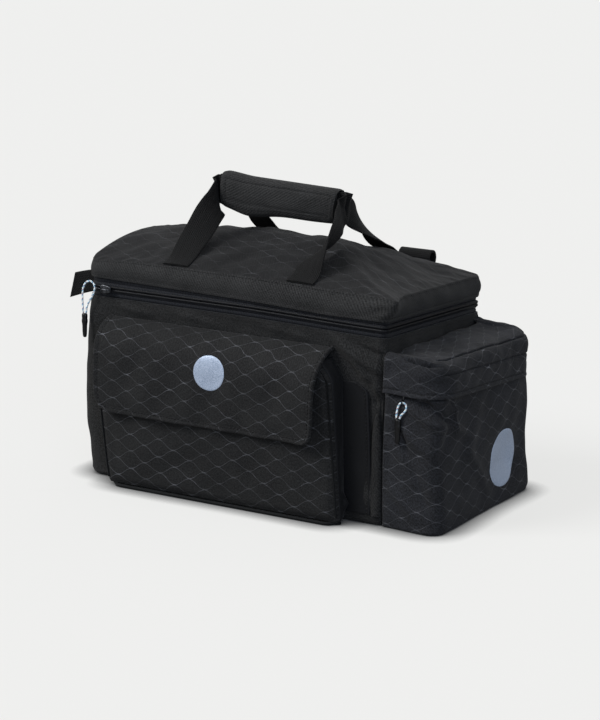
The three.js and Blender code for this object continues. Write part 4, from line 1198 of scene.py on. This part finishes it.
def hood_surface(s, k):
    """Hood by distance round and distance up from the hem: skirt, quarter-round shoulder and a
    flat top that runs back to the body. Two pressed seams cross it, and the hem is turned."""
    x, y, nx, ny = HOOD_PLAN.at(s)
    hem = hood_hem(x, y)
    ends = np.minimum(s - E_START, HOOD_PLAN.length - E_START - s)
    size = lerp(0.4, 1.0, smooth(0.0, 44.0, ends))
    shoulder = HOOD_TOP - (HOOD_TOP - HOOD_SHOULDER) * size
    skirt = shoulder - hem
    arc = 27.0 * size
    top = 46.0
    turn = np.clip((k - skirt) / arc, 0.0, 1.0) * 0.5 * math.pi
    proud = HOOD_PROUD * lerp(1.0, 0.55, smooth(E_START + 70.0, E_START + 210.0, s))
    inset = -proud * lerp(1.0, 0.8, smooth(0.0, 1.0, k / skirt)) + 17.0 * size * (1.0 - np.cos(turn))
    fall = 3.0 * np.clip((x - RIGHT) / 50.0, 0.0, 1.0)
    z = np.where(k < skirt, hem + k, shoulder + (HOOD_TOP - shoulder - fall) * np.sin(turn))
    px, py, nx, ny = HOOD_PLAN.at(s, inset)
    flat = np.clip((k - skirt - arc) / top, 0.0, 1.0)
    way = (s - E_START) / (HOOD_PLAN.length - 2.0 * E_START)
    px = lerp(px, E_BACK, flat)
    py = lerp(py, wall_place(E_START + way * (END_PLAN.length - 2.0 * E_START), E_SIDE - 6.8), flat)
    d = s - E_START
    soft = folds(s, k, 101, 60.0, 1.1) + folds(s, k, 103, 22.0, 0.5)
    out = soft * smooth(0.0, 8.0, k) * smooth(0.0, 6.0, d) * smooth(0.0, 6.0,
                                                                    HOOD_PLAN.length - E_START - s)
    out = out + 0.5 * bump(k, 1.2, 1.4) - 0.8 * bump(k, 4.0, 0.7)
    face_on = smooth(44.0, 52.0, d) * smooth(38.0, 46.0, HOOD_PLAN.length - 2.0 * E_START - d)
    out = out - 1.8 * face_on * (bump(k, 20.0, 0.8) + bump(k, 36.0, 0.8))
    pinch = crease(d, k, (20.0, 34.0), (42.0, 31.0), 1.4, 2.4) + crease(d, k, (18.0, 31.0), (44.0, 28.0),
                                                                        1.2, -3.2)
    out = out + pinch
    lift = np.cos(turn)
    return stack(np.maximum(px + nx * out * lift, E_BACK), py + ny * out * lift, z + out * np.sin(turn))


def make_hood():
    """Hood over the end pocket's zip, of net cloth, with stitches along its seams and hem."""
    s = np.linspace(E_START, HOOD_PLAN.length - E_START, 150)[None]
    k = np.concatenate([np.linspace(0.0, 46.0, 62), np.linspace(50.0, 90.0, 9)])[:, None]
    grid = hood_surface(s, k)
    # The hood's cloth is the panels' net with a painted bluish sheen in its colour
    piece = build("hood_cloth", [(grid, stack(s, k + hood_hem(*HOOD_PLAN.at(s)[:2])), 0)],
                  ["end_net_polyester", "nylon_lining"], ["end_pocket_hood"], crisp=60)
    thicken(piece, 1.6, 1)
    whole = np.linspace(E_START, HOOD_PLAN.length - E_START, 180)
    rows = []
    for line, level, tilt in ((whole, 4.0, 0.0), (whole[33:-28], 20.0, 0.2), (whole[33:-28], 36.0, 1.1)):
        _, _, nx, ny = HOOD_PLAN.at(line)
        normal = stack(nx * math.cos(tilt), ny * math.cos(tilt), math.sin(tilt))
        rows.append((hood_surface(line, np.full_like(line, level)) + 0.2 * normal, normal))
    build_stitches("hood_stitches", rows)


def make_end_zip():
    """Tape and coil behind the hood."""
    s = end_run(2.4)[None]
    x, y, _, _ = END_PLAN.at(s, 2.0)
    z = lerp(E_RIM + 0.4, 123.8, stations(1.0, 0.2, 0.1)[:, None])
    build_sheet("end_tape", stack(np.maximum(x, 145.9), y, z), stack(s, z), (1.0, 0.5),
                ["polyester_zip_tape"], ["end_zip_tape"])
    x, y, nx, ny = END_PLAN.at(end_run(1.0), 1.2)
    make_coil("end_zip_teeth", stack(np.maximum(x, 146.4), y, 118.5), stack(nx, ny, 0.0), 2.2,
              "end_zip_coil")


# Handle

WEB_WIDTH, WEB_THICK = 25.0, 2.0
GRIP_LEFT, GRIP_RIGHT = -62.0, 51.0
GRIP_DEEP, GRIP_HIGH, GRIP_POWER = 9.5, 14.5, 0.72
PANEL_EDGE, PANEL_ROWS = 5.0, (9.6, -8.4)
FRONT_LEG = (
    (0.16, 0.05, 12, 20, 0.1, 0.02), (0.34, 0.08, 28, 50, 0.2, 0.14), (0.56, 0.09, 42, 80, 0.24, 0.24),
    (0.76, 0.05, 60, 98, 0.24, 0.16), (0.92, 0.0, 82, 96, 0.06, 0.02), (1.0, 0.0, 90, 90, 0.0, 0.0),
)
BACK_LEG = (
    (0.1, -0.02, 2, 4, 0.06, 0.0), (0.22, -0.04, 3, 10, 0.16, 0.0), (0.38, -0.05, 6, 24, 0.32, 0.06),
    (0.56, -0.05, 10, 44, 0.46, 0.08), (0.76, -0.04, 16, 66, 0.5, 0.06), (0.92, -0.02, 50, 84, 0.26, 0.0),
    (1.0, 0.0, 90, 90, 0.0, 0.0),
)


def grip_centre(x):
    """Height of the grip's middle, which falls gently to the right."""
    return 250.0 - 4.0 * (x - GRIP_LEFT) / (GRIP_RIGHT - GRIP_LEFT)


def on_lid(x, side, inset, above):
    """Point a little above the lid beside a long side."""
    u = float(share_along(np.array(x)))
    rise = 1.0 - (1.0 - (inset - 2.0) / HALF) ** 1.5
    z = lerp(float(lid_seam(u, side)), float(lid_crest(u)), rise)
    return np.array([x, side * (HALF - inset), z + above])


def strap_stations(side, left_base, right_base):
    """Middle points and width directions of a strap: up from the lid, through the grip and down."""
    lane, above = side * 2.0, 1.6
    legs = []
    for base, top, hand in ((left_base, GRIP_LEFT - 6.0, 1), (right_base, GRIP_RIGHT + 6.0, -1)):
        head = np.array([top, lane, grip_centre(top)])
        twist = hand if side < 0 else 1
        leg = []
        for inset in (2.4, 12.0):
            edges = [on_lid(base + way * 12.5, side, inset, above) for way in (1, -1)]
            at = on_lid(base, side, inset, above)
            at[2] = max(at[2], 0.5 * (edges[0][2] + edges[1][2]))
            wide = edges[0] - edges[1]
            leg.append((at, twist * wide / np.linalg.norm(wide) if hand < 0 else wide / np.linalg.norm(wide)))
        foot = leg[1][0]
        for run, rise, left_turn, right_turn, left_bow, right_bow in (FRONT_LEG if side < 0 else BACK_LEG):
            turn, bow = (left_turn, left_bow) if hand > 0 else (right_turn, right_bow)
            at = lerp(foot, head, run)
            at = at + np.array([WEB_WIDTH * bow, 0.0, rise * (head[2] - foot[2])])
            angle = math.radians(turn)
            wide = np.array([math.cos(angle), 0.0, -twist * math.sin(angle)])
            leg.append((at, twist * wide if hand < 0 else wide))
        legs.append(leg)
    middle = []
    for share in (0.0, 0.33, 0.67, 1.0):
        x = lerp(GRIP_LEFT, GRIP_RIGHT, share)
        middle.append((np.array([x, lane, grip_centre(x)]), np.array([0.0, 0.0, -1.0])))
    route = legs[0] + middle + legs[1][::-1]
    return np.array([step[0] for step in route]), np.array([step[1] for step in route])


def make_strap(side, name, left_base, right_base):
    """Webbing strap: a flat section with round edges carried along the smooth line through its
    stations, its width turned as they say."""
    centres, wides = strap_stations(side, left_base, right_base)
    rough = walked(centres)
    k = np.linspace(0.0, rough[-1], 190)
    at = looked_up(through, k, rough, centres)
    wide = looked_up(through, k, rough, wides)
    along = np.gradient(at, axis=0)
    in_grip = smooth(GRIP_LEFT - 8.0, GRIP_LEFT, at[:, 0]) * smooth(GRIP_RIGHT + 8.0, GRIP_RIGHT, at[:, 0])
    near_grip = in_grip * (at[:, 2] > 240.0)
    along[:, 2] *= 1.0 - near_grip
    along = unit(along)
    wide -= np.sum(wide * along, axis=1, keepdims=True) * along
    wide = unit(wide)
    thick = np.cross(along, wide)
    angle = np.linspace(0.0, 2.0 * math.pi, 41)
    across = 0.5 * WEB_WIDTH * squared(np.cos(angle), 0.55)
    over = 0.5 * (WEB_THICK - 0.2) * squared(np.sin(angle), 0.35)
    cup = 0.35 * (across / (0.5 * WEB_WIDTH)) ** 2
    grid = (at[:, None] + across[None, :, None] * wide[:, None]
            + (over + cup)[None, :, None] * thick[:, None])
    length = walked(at)
    uv = stack(across[None] + 12.5, length[:, None])
    grid = np.concatenate([np.repeat(at[:1, None], 41, axis=1), grid, np.repeat(at[-1:, None], 41, axis=1)])
    uv = np.concatenate([uv[:1], uv, uv[-1:]])
    build(name, [(grid, uv, 0)], ["polypropylene_webbing"],
          ["handle_strap_front" if side < 0 else "handle_strap_back"], crisp=60)


def grip_section(x, turn):
    """Section of the grip: a superellipse 29 high and 19 deep, flatter in front, with a raised
    sewn panel on its near face and a slight sag between its ends."""
    cy, cz = np.cos(turn), np.sin(turn)
    ends = smooth(GRIP_LEFT, GRIP_LEFT + 3.0, x) * smooth(GRIP_RIGHT, GRIP_RIGHT - 3.0, x)
    puff = 0.7 * ends - 0.5
    y = GRIP_DEEP * squared(cy, GRIP_POWER) * (1.0 + puff / GRIP_DEEP)
    z = GRIP_HIGH * squared(cz, GRIP_POWER) * (1.0 + puff / GRIP_HIGH)
    z = z - smooth(2.0, -12.0, z) * (5.5 * bump(x, -36.0, 26.0) + 1.5 * bump(x, 20.0, 30.0))
    left, right = GRIP_LEFT + PANEL_EDGE, GRIP_RIGHT - PANEL_EDGE
    inside = smooth(left - 1.0, left, x) * smooth(right + 1.0, right, x)
    groove = np.maximum(bump(z, PANEL_ROWS[0], 0.8), bump(z, PANEL_ROWS[1], 0.8)) * inside
    sides = np.maximum(bump(x, left, 0.8), bump(x, right, 0.8)) * (np.abs(z - 0.6) < 9.4)
    dents = 0.5 - 0.7 * np.maximum(groove, sides) + folds(x, z, 111, 18.0, 0.2)
    y = y - smooth(-0.2, -0.75, cy) * dents
    lean = 0.14 * z * smooth(GRIP_RIGHT - 20.0, GRIP_RIGHT, x)
    lean = lean + 2.0 * smooth(GRIP_LEFT + 30.0, GRIP_LEFT, x)
    return stack(x + np.where(x > 0.0, lean, 0.0), y, grip_centre(x) + z + np.where(x < 0.0, lean, 0.0))


def make_grip():
    """Padded sleeve round both straps: outside, hemmed ends, the inside of its slot and stitches."""
    x = GRIP_LEFT + stations(GRIP_RIGHT - GRIP_LEFT, 1.6, 2.0)[:, None]
    turn = np.linspace(0.0, 2.0 * math.pi, 97)[None]
    outer = grip_section(x, turn)
    back = np.linspace(GRIP_RIGHT, GRIP_LEFT, 12)[:, None]
    y, z = 3.3 * squared(np.cos(turn), 0.5), 12.9 * squared(np.sin(turn), 0.5)
    grid = np.concatenate([outer, stack(back, y, grip_centre(back) + z), outer[:1]])
    along = np.concatenate([x, 130.0 + np.arange(13)[:, None] * 10.0])
    piece = build("grip_cloth", [(grid, stack(walked(outer[20])[None], along), 0)],
                  ["brushed_twill"], ["handle_grip"], crisp=55)
    run = np.linspace(GRIP_LEFT + PANEL_EDGE, GRIP_RIGHT - PANEL_EDGE, 80)
    lines = []
    for height in PANEL_ROWS:
        angle = math.asin((abs(height) / GRIP_HIGH) ** (1.0 / GRIP_POWER))
        lines.append(grip_section(run, math.pi - math.copysign(angle, height)))
    for end in (run[0], run[-1]):
        lines.append(grip_section(end, math.pi + np.linspace(-0.56, 0.5, 20)))
    rows = [(line - [0.0, 0.1, 0.0], facing(len(line))) for line in lines]
    build_stitches("grip_stitches", rows)


# Small webbing pieces

def make_tab():
    """Folded webbing tab at the left end of the zip: a thick sheet with round edges."""
    length = 28.0
    a = stations(length, 1.4, 1.6)[None]
    b = stations(1.0, 0.08, 0.08)[:, None]
    x = -151.8 - a * (1.0 - 0.2 * b)
    top = 180.0 - 5.0 * (a / length) ** 1.3
    z = lerp(top - 19.0 - 4.0 * a / length, top, b)
    fold = 0.4 * bump(a, 27.0, 1.6) - 0.4 * bump(a, 6.0, 0.7)
    build_sheet("tab_webbing", stack(x, -68.3 + 0.5 * np.sin(a / 9.0), z), stack(z, x),
                (3.2, 1.5, fold, -1.0), ["polypropylene_webbing"], ["zip_end_tab"])


def make_loop():
    """Webbing loop on the far side: a rolled tube, open at both ends, and the tail sewn below."""
    centre_y, centre_z = 94.2, 190.6
    x = np.linspace(62.5, 93.0, 12)[:, None]
    turn = np.linspace(0.0, 2.0 * math.pi, 49)[None]
    outer, inner = (stack(x[::way], centre_y + radius * np.cos(turn), centre_z + radius * np.sin(turn))
                    for radius, way in ((7.4, 1), (5.4, -1)))
    grid = np.concatenate([outer, inner, outer[:1]])
    uv = stack(turn * 6.5, np.concatenate([x, x[::-1], x[:1]]))
    a = stations(29.0, 2.4, 1.0)[None]
    b = stations(14.5, 1.4, 1.0)[:, None]
    tail = both_sides(stack(63.5 + a, 88.3, centre_z - 14.8 + b), 1.7, 0.8)
    build("loop_webbing", [(grid, uv, 0)] + [(face, stack(b, a), 0) for face in tail],
          ["polypropylene_webbing"], ["rear_loop"], crisp=50)


# Sliders and pulls

def make_slider():
    """Main slider: a wedge-shaped plate over the coil, the bridge on it and the wire eye."""
    turn = np.linspace(0.0, 2.0 * math.pi, 41)[None]
    level = np.array([-1.3, -1.1, -0.5, 0.3, 0.8, 1.0])[:, None]
    size = np.array([0.75, 0.97, 1.0, 1.0, 0.93, 0.8])[:, None]
    wide = 5.5 * squared(np.cos(turn), 0.55)
    high = 4.3 * squared(np.sin(turn), 0.55) * (1.0 - 0.03 * (wide + 5.5))
    plate = stack(wide * size - 128.0, -88.4 - level, high * size + ZIP)
    plate = closed(plate, plate[0, :-1].mean(axis=0), plate[-1, :-1].mean(axis=0))
    arch, _ = resampled([(-123.6, -89.2, ZIP), (-124.6, -90.7, ZIP), (-128.0, -90.9, ZIP),
                         (-131.0, -90.6, ZIP), (-132.2, -89.3, ZIP)], 0.4)
    bar, _ = resampled([(-131.0, -88.6, ZIP), (-134.5, -88.7, ZIP), (-137.9, -88.5, ZIP)], 0.6)
    wires = [tube(line, radius, 10, (0.0, 1.0, 0.3)) for line, radius in ((arch, 0.75), (bar, 0.55))]
    around = np.linspace(0.0, 2.0 * math.pi, 13)[None]
    reach = 1.8 + 0.5 * np.cos(around)
    eye = stack(reach * np.cos(turn.T) - 139.5, 0.5 * np.sin(around) - 88.4, reach * np.sin(turn.T) + ZIP)
    build("slider_metal", [unmapped(plate), *wires, unmapped(eye)], ["plated_zinc"],
          ["zip_slider"], crisp=45)


PULL_END = ((1.0, 0.3), (0.985, 0.5), (0.92, 0.68), (0.75, 0.78), (0.55, 0.8), (0.42, 0.88), (0.36, 1.0),
            (0.3, 1.02), (0.26, 0.98), (0.2, 0.9), (0.14, 0.96), (0.05, 0.94), (0.01, 0.8), (0.0, 0.6))


def make_pull(name, route, cad_cord, cad_end):
    """One pull: a braided cord loop along its route and the moulded end that holds both its tails."""
    path, length = resampled(route, 0.8)
    cord = build(f"{name}_cord", [tube(path, 0.5 * PULL_CORD, 16, (0.0, 1.0, 0.0))], ["braided_cord"],
                 [cad_cord])
    x, y, z = 0.5 * (path[0] + path[-1]) - [0.0, 0.0, 0.3]
    turn = np.linspace(0.0, 2.0 * math.pi, 33)[None]
    down, wide = np.array(PULL_END).T[..., None]
    knob = stack(x + 2.8 * wide * np.cos(turn), y + 2.2 * wide * np.sin(turn), z - 21.0 * down)
    knob = closed(knob, (x, y, z - 21.0), (x, y, z))
    end = build(f"{name}_end", [unmapped(knob)], ["moulded_rubber"], [cad_end], crisp=50)


# Reflective dots

def make_dots():
    """Two plain round patches of reflective film, one on the near flap and one on the end face.

    Each is a disc of rings carried onto the cloth's surface function and raised a little."""
    turn = np.linspace(0.0, 2.0 * math.pi, 65)[None]
    for name, radius, centre in (("flap_dot", 15.0, (-6.0, 46.0)), ("end_dot", 25.0, (0.0, 40.0))):
        r = radius * np.array([0.0, 0.35, 0.7, 0.9, 0.985, 1.0])[:, None]
        across, along = r * np.cos(turn), r * np.sin(turn)
        rise = np.array([0.35, 0.35, 0.35, 0.35, 0.33, 0.1])[:, None, None]
        if name == "flap_dot":
            b = centre[1] + along
            fall = through(b, FLAP_STEPS, FLAP_FALL)
            width = FLAP_RIGHT - FLAP_LEFT - 4.5 * fall
            a = (centre[0] + across - FLAP_LEFT - 0.5 * fall) / width
            at, normal = on_flap(a.ravel(), b.ravel())
            grid = (at + normal * 0.5 * FLAP_THICK).reshape(*a.shape,
                                                            3) + rise * normal.reshape(*a.shape, 3)
        else:
            middle = 0.5 * END_PLAN.length + 33.0
            grid = end_wall(middle + across, centre[1] + along) + rise * np.array([1.0, 0.0, 0.0])
        build(name, [unmapped(grid)], ["reflective_film"])


# Stage

CAMERA_PLACE = (1.043797, -1.759222, 0.592349)
CAMERA_AHEAD = (-0.49110, 0.83977, -0.23151)
CAMERA_ROLL = 0.80
LENS = 120.68


def make_camera():
    """Camera solved from the bag's long parallel edges, turned by its small roll."""
    ahead = Vector(CAMERA_AHEAD).normalized()
    right = ahead.cross(Vector((0.0, 0.0, 1.0))).normalized()
    up = right.cross(ahead)
    roll = math.radians(CAMERA_ROLL)
    right, up = right * math.cos(roll) + up * math.sin(roll), up * math.cos(roll) - right * math.sin(roll)
    data = bpy.data.cameras.new("camera")
    data.lens = LENS
    data.sensor_width = 36.0
    data.clip_end = 100.0
    camera = bpy.data.objects.new("camera", data)
    bpy.context.scene.collection.objects.link(camera)
    turn = Matrix((right, up, -ahead)).transposed().to_4x4()
    camera.matrix_world = Matrix.Translation(CAMERA_PLACE) @ turn
    bpy.context.scene.camera = camera


def make_stage():
    """Pale seamless floor, an even pale sky and soft suns: light that falls alike everywhere."""
    scene = bpy.context.scene
    settings = scene.bag_stage
    scene.view_settings.view_transform = "Standard"
    world = bpy.data.worlds.new("studio")
    world.use_nodes = True
    background = world.node_tree.nodes["Background"]
    background.inputs["Color"].default_value = (1.0, 1.0, 0.99, 1.0)
    background.inputs["Strength"].default_value = settings.sky
    scene.world = world
    for name, share, size, azimuth, elevation in (
            ("top_sun", settings.top, 60.0, 0.0, 80.0), ("key_sun", settings.side, 28.0, -44.0, 40.0),
            ("back_sun", settings.rim, 60.0, 190.0, 40.0), ("cool_sun", settings.cool, 36.0, 42.0, 22.0)):
        sun = bpy.data.lights.new(name, "SUN")
        sun.energy = share
        sun.color = (0.66, 0.79, 1.0) if name == "cool_sun" else (1.0, 1.0, 1.0)
        sun.angle = math.radians(size)
        lamp = bpy.data.objects.new(name, sun)
        scene.collection.objects.link(lamp)
        turn, high = math.radians(azimuth), math.radians(elevation)
        away = Vector((math.sin(turn) * math.cos(high), -math.cos(turn) * math.cos(high), math.sin(high)))
        lamp.rotation_euler = away.to_track_quat("Z", "Y").to_euler()
    mesh = bpy.data.meshes.new("floor")
    reach = 60.0
    mesh.from_pydata([(-reach, -reach, 0.0), (reach, -reach, 0.0), (reach, reach, 0.0),
                      (-reach, reach, 0.0)],
                     [], [(0, 1, 2, 3)])
    floor = bpy.data.objects.new("floor", mesh)
    scene.collection.objects.link(floor)
    # Translucent backdrop lit from below: it glows evenly, is dimmed close under the bag by an
    # ambient occlusion mask, a painted contact shadow, and takes a faint shadow from the lamps above.
    material, tree, shader = new_material("Backlit studio paper", Roughness=1.0, Specular_IOR_Level=0.0,
                                          Emission_Color=linear(settings.paper))
    shader.inputs["Base Color"].default_value = (settings.shade,) * 3 + (1.0,)
    # Ambient occlusion dims the glow near the bag: a painted contact shadow
    near = Signal(node(tree, "AmbientOcclusion", {"samples": 12}, Distance=0.022), "AO")
    # The panel shines mostly at the camera, like a film with a narrow spread: little of it comes
    # back on the underside of what stands on it.
    seen = Signal(node(tree, "LightPath"), "Is Camera Ray")
    glow = near.maths("POWER", 2.5) * settings.glow * seen.ramp(0.0, 1.0, settings.spread, 1.0)
    tree.links.new(glow.socket, shader.inputs["Emission Strength"])
    mesh.materials.append(material)


# Add-on: settings, operators and panel

def colour_setting(label, hint, default):
    """A colour kept as an sRGB hex string."""
    return bpy.props.StringProperty(name=label, description=hint, default=default)


class BagColours(bpy.types.PropertyGroup):
    """Colours of the bag's cloth, as sRGB hex values."""
    cloth_dark: colour_setting("Panel dark", "Shaded threads of the net panels", "#070708")
    cloth_light: colour_setting("Panel light", "Lit threads of the net panels", "#242424")
    # Darker than the panels' light colour: painted shade on the lid's top
    lid_light: colour_setting("Lid light", "Lit threads of the lid's top", "#1e1e1f")
    # Paler and bluer than the panels' light colour: a painted bluish sheen
    end_light: colour_setting("End pocket light", "Lit threads of the end pocket, a little bluer",
                              "#292a2e")
    twill_dark: colour_setting("Twill dark", "Shaded threads of the plain twill", "#090909")
    twill_light: colour_setting("Twill light", "Lit threads of the plain twill", "#282828")
    smooth_dark: colour_setting("Coated dark", "Shaded threads of the coated cloth", "#030405")
    smooth_light: colour_setting("Coated light", "Lit threads of the coated cloth", "#08090e")
    twill_faced: colour_setting("Brushed twill light", "Lit threads of the band and the grip", "#353535")
    web_dark: colour_setting("Webbing dark", "Gaps between the webbing's yarns", "#070707")
    web_light: colour_setting("Webbing light", "Yarns of the webbing", "#0f0f10")
    net_line: colour_setting("Net line", "Pale yarn of the net", "#8b8d93")


class BagStage(bpy.types.PropertyGroup):
    """Light and floor of the stage."""
    sky: bpy.props.FloatProperty(name="Sky", description="Strength of the even light", default=0.36,
                                 min=0.0)
    top: bpy.props.FloatProperty(name="Top sun", description="Soft light from above", default=0.66, min=0.0)
    side: bpy.props.FloatProperty(name="Key sun", description="Soft light from the front left",
                                  default=2.85, min=0.0)
    rim: bpy.props.FloatProperty(name="Back sun", description="Soft light from behind", default=0.45,
                                 min=0.0)
    cool: bpy.props.FloatProperty(name="Cool sun", description="Faint bluish light from the right",
                                  default=1.1, min=0.0)
    shade: bpy.props.FloatProperty(name="Shade", description="Floor's share of reflected light",
                                   default=0.12, min=0.0)
    glow: bpy.props.FloatProperty(name="Glow", description="Floor's own light", default=0.706, min=0.0)
    spread: bpy.props.FloatProperty(name="Spread",
                                    description="Share of the floor's light that falls back on the bag",
                                    default=0.35, min=0.0, max=1.0)
    paper: bpy.props.StringProperty(name="Paper", description="Floor's tint, sRGB hex", default="#fffffd")


class BAG_OT_stage(bpy.types.Operator):
    """Make the camera, the lights and the pale floor"""
    bl_idname = "bag.stage"
    bl_label = "Stage"

    def execute(self, context):
        make_camera()
        make_stage()
        return {"FINISHED"}


class BAG_OT_pulls(bpy.types.Operator):
    """Make both zip pulls: their cord loops and moulded ends"""
    bl_idname = "bag.pulls"
    bl_label = "Zip pulls"

    def execute(self, context):
        make_pull("main_pull", MAIN_PULL_ROUTE, "zip_pull_cord", "zip_pull_end")
        make_pull("hood_pull", END_PULL_ROUTE, "end_pull_cord", "end_pull_end")
        return {"FINISHED"}


class BAG_OT_body(bpy.types.Operator):
    """Make the padded compartment and its stitching"""
    bl_idname = "bag.body"
    bl_label = "Compartment"

    def execute(self, context):
        make_body()
        make_body_stitches()
        return {"FINISHED"}


class BAG_OT_lid(bpy.types.Operator):
    """Make the lid's band, its domed top and its stitching"""
    bl_idname = "bag.lid"
    bl_label = "Lid"

    def execute(self, context):
        make_lid()
        make_lid_stitches()
        return {"FINISHED"}


class BAG_OT_zips(bpy.types.Operator):
    """Make the main zip with its hinge and slider, and the end pocket's zip"""
    bl_idname = "bag.zips"
    bl_label = "Zips"

    def execute(self, context):
        make_zip()
        make_slider()
        make_end_zip()
        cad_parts["end_zip_slider"].data.materials.clear()
        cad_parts["end_zip_slider"].data.materials.append(finish("plated_zinc"))
        return {"FINISHED"}


class BAG_OT_pockets(bpy.types.Operator):
    """Make the flap pockets on both long sides with their patches and folds"""
    bl_idname = "bag.pockets"
    bl_label = "Flap pockets"

    def execute(self, context):
        for side, name in ((-1, "front"), (1, "back")):
            make_pocket(side, name)
            make_flap(side, name)
            rows = [make_patch(side, name, end) for end in (-1, 1)]
            build_stitches(f"{name}_patch_stitches", rows)
            make_fold(side, name)
        return {"FINISHED"}


class BAG_OT_end_pocket(bpy.types.Operator):
    """Make the end pocket and the hood over its zip"""
    bl_idname = "bag.end_pocket"
    bl_label = "End pocket"

    def execute(self, context):
        make_end_pocket()
        make_hood()
        return {"FINISHED"}


class BAG_OT_handle(bpy.types.Operator):
    """Make the two webbing straps and the padded grip"""
    bl_idname = "bag.handle"
    bl_label = "Handle"

    def execute(self, context):
        make_strap(-1, "front_strap", -60.0, 62.0)
        make_strap(1, "back_strap", -60.0, 57.0)
        make_grip()
        return {"FINISHED"}


class BAG_OT_webbing(bpy.types.Operator):
    """Make the tab at the zip's end and the loop on the far side"""
    bl_idname = "bag.webbing"
    bl_label = "Tab and loop"

    def execute(self, context):
        make_tab()
        make_loop()
        return {"FINISHED"}


class BAG_OT_dots(bpy.types.Operator):
    """Make the two plain reflective patches"""
    bl_idname = "bag.dots"
    bl_label = "Reflective patches"

    def execute(self, context):
        make_dots()
        return {"FINISHED"}


STEPS = (BAG_OT_stage, BAG_OT_pulls, BAG_OT_body, BAG_OT_lid, BAG_OT_zips, BAG_OT_pockets,
         BAG_OT_end_pocket, BAG_OT_handle, BAG_OT_webbing, BAG_OT_dots)


class BAG_PT_panel(bpy.types.Panel):
    """The bag's steps in the order in which they are made"""
    bl_label = "Trunk bag"
    bl_idname = "BAG_PT_panel"
    bl_space_type = "VIEW_3D"
    bl_region_type = "UI"
    bl_category = "Trunk bag"

    def draw(self, context):
        for step in STEPS:
            self.layout.operator(step.bl_idname)
        for group in (context.scene.bag_colours, context.scene.bag_stage):
            box = self.layout.box()
            for key in group.bl_rna.properties.keys():
                if key not in ("rna_type", "name"):
                    box.prop(group, key)


CLASSES = (BagColours, BagStage, *STEPS, BAG_PT_panel)


def register():
    for cls in CLASSES:
        bpy.utils.register_class(cls)
    bpy.types.Scene.bag_colours = bpy.props.PointerProperty(type=BagColours)
    bpy.types.Scene.bag_stage = bpy.props.PointerProperty(type=BagStage)


def unregister():
    del bpy.types.Scene.bag_stage
    del bpy.types.Scene.bag_colours
    for cls in reversed(CLASSES):
        bpy.utils.unregister_class(cls)


def main():
    """Makes every piece in order."""
    register()
    for step in STEPS:
        group, action = step.bl_idname.split(".")
        getattr(getattr(bpy.ops, group), action)()


if __name__ == "__main__":
    main()
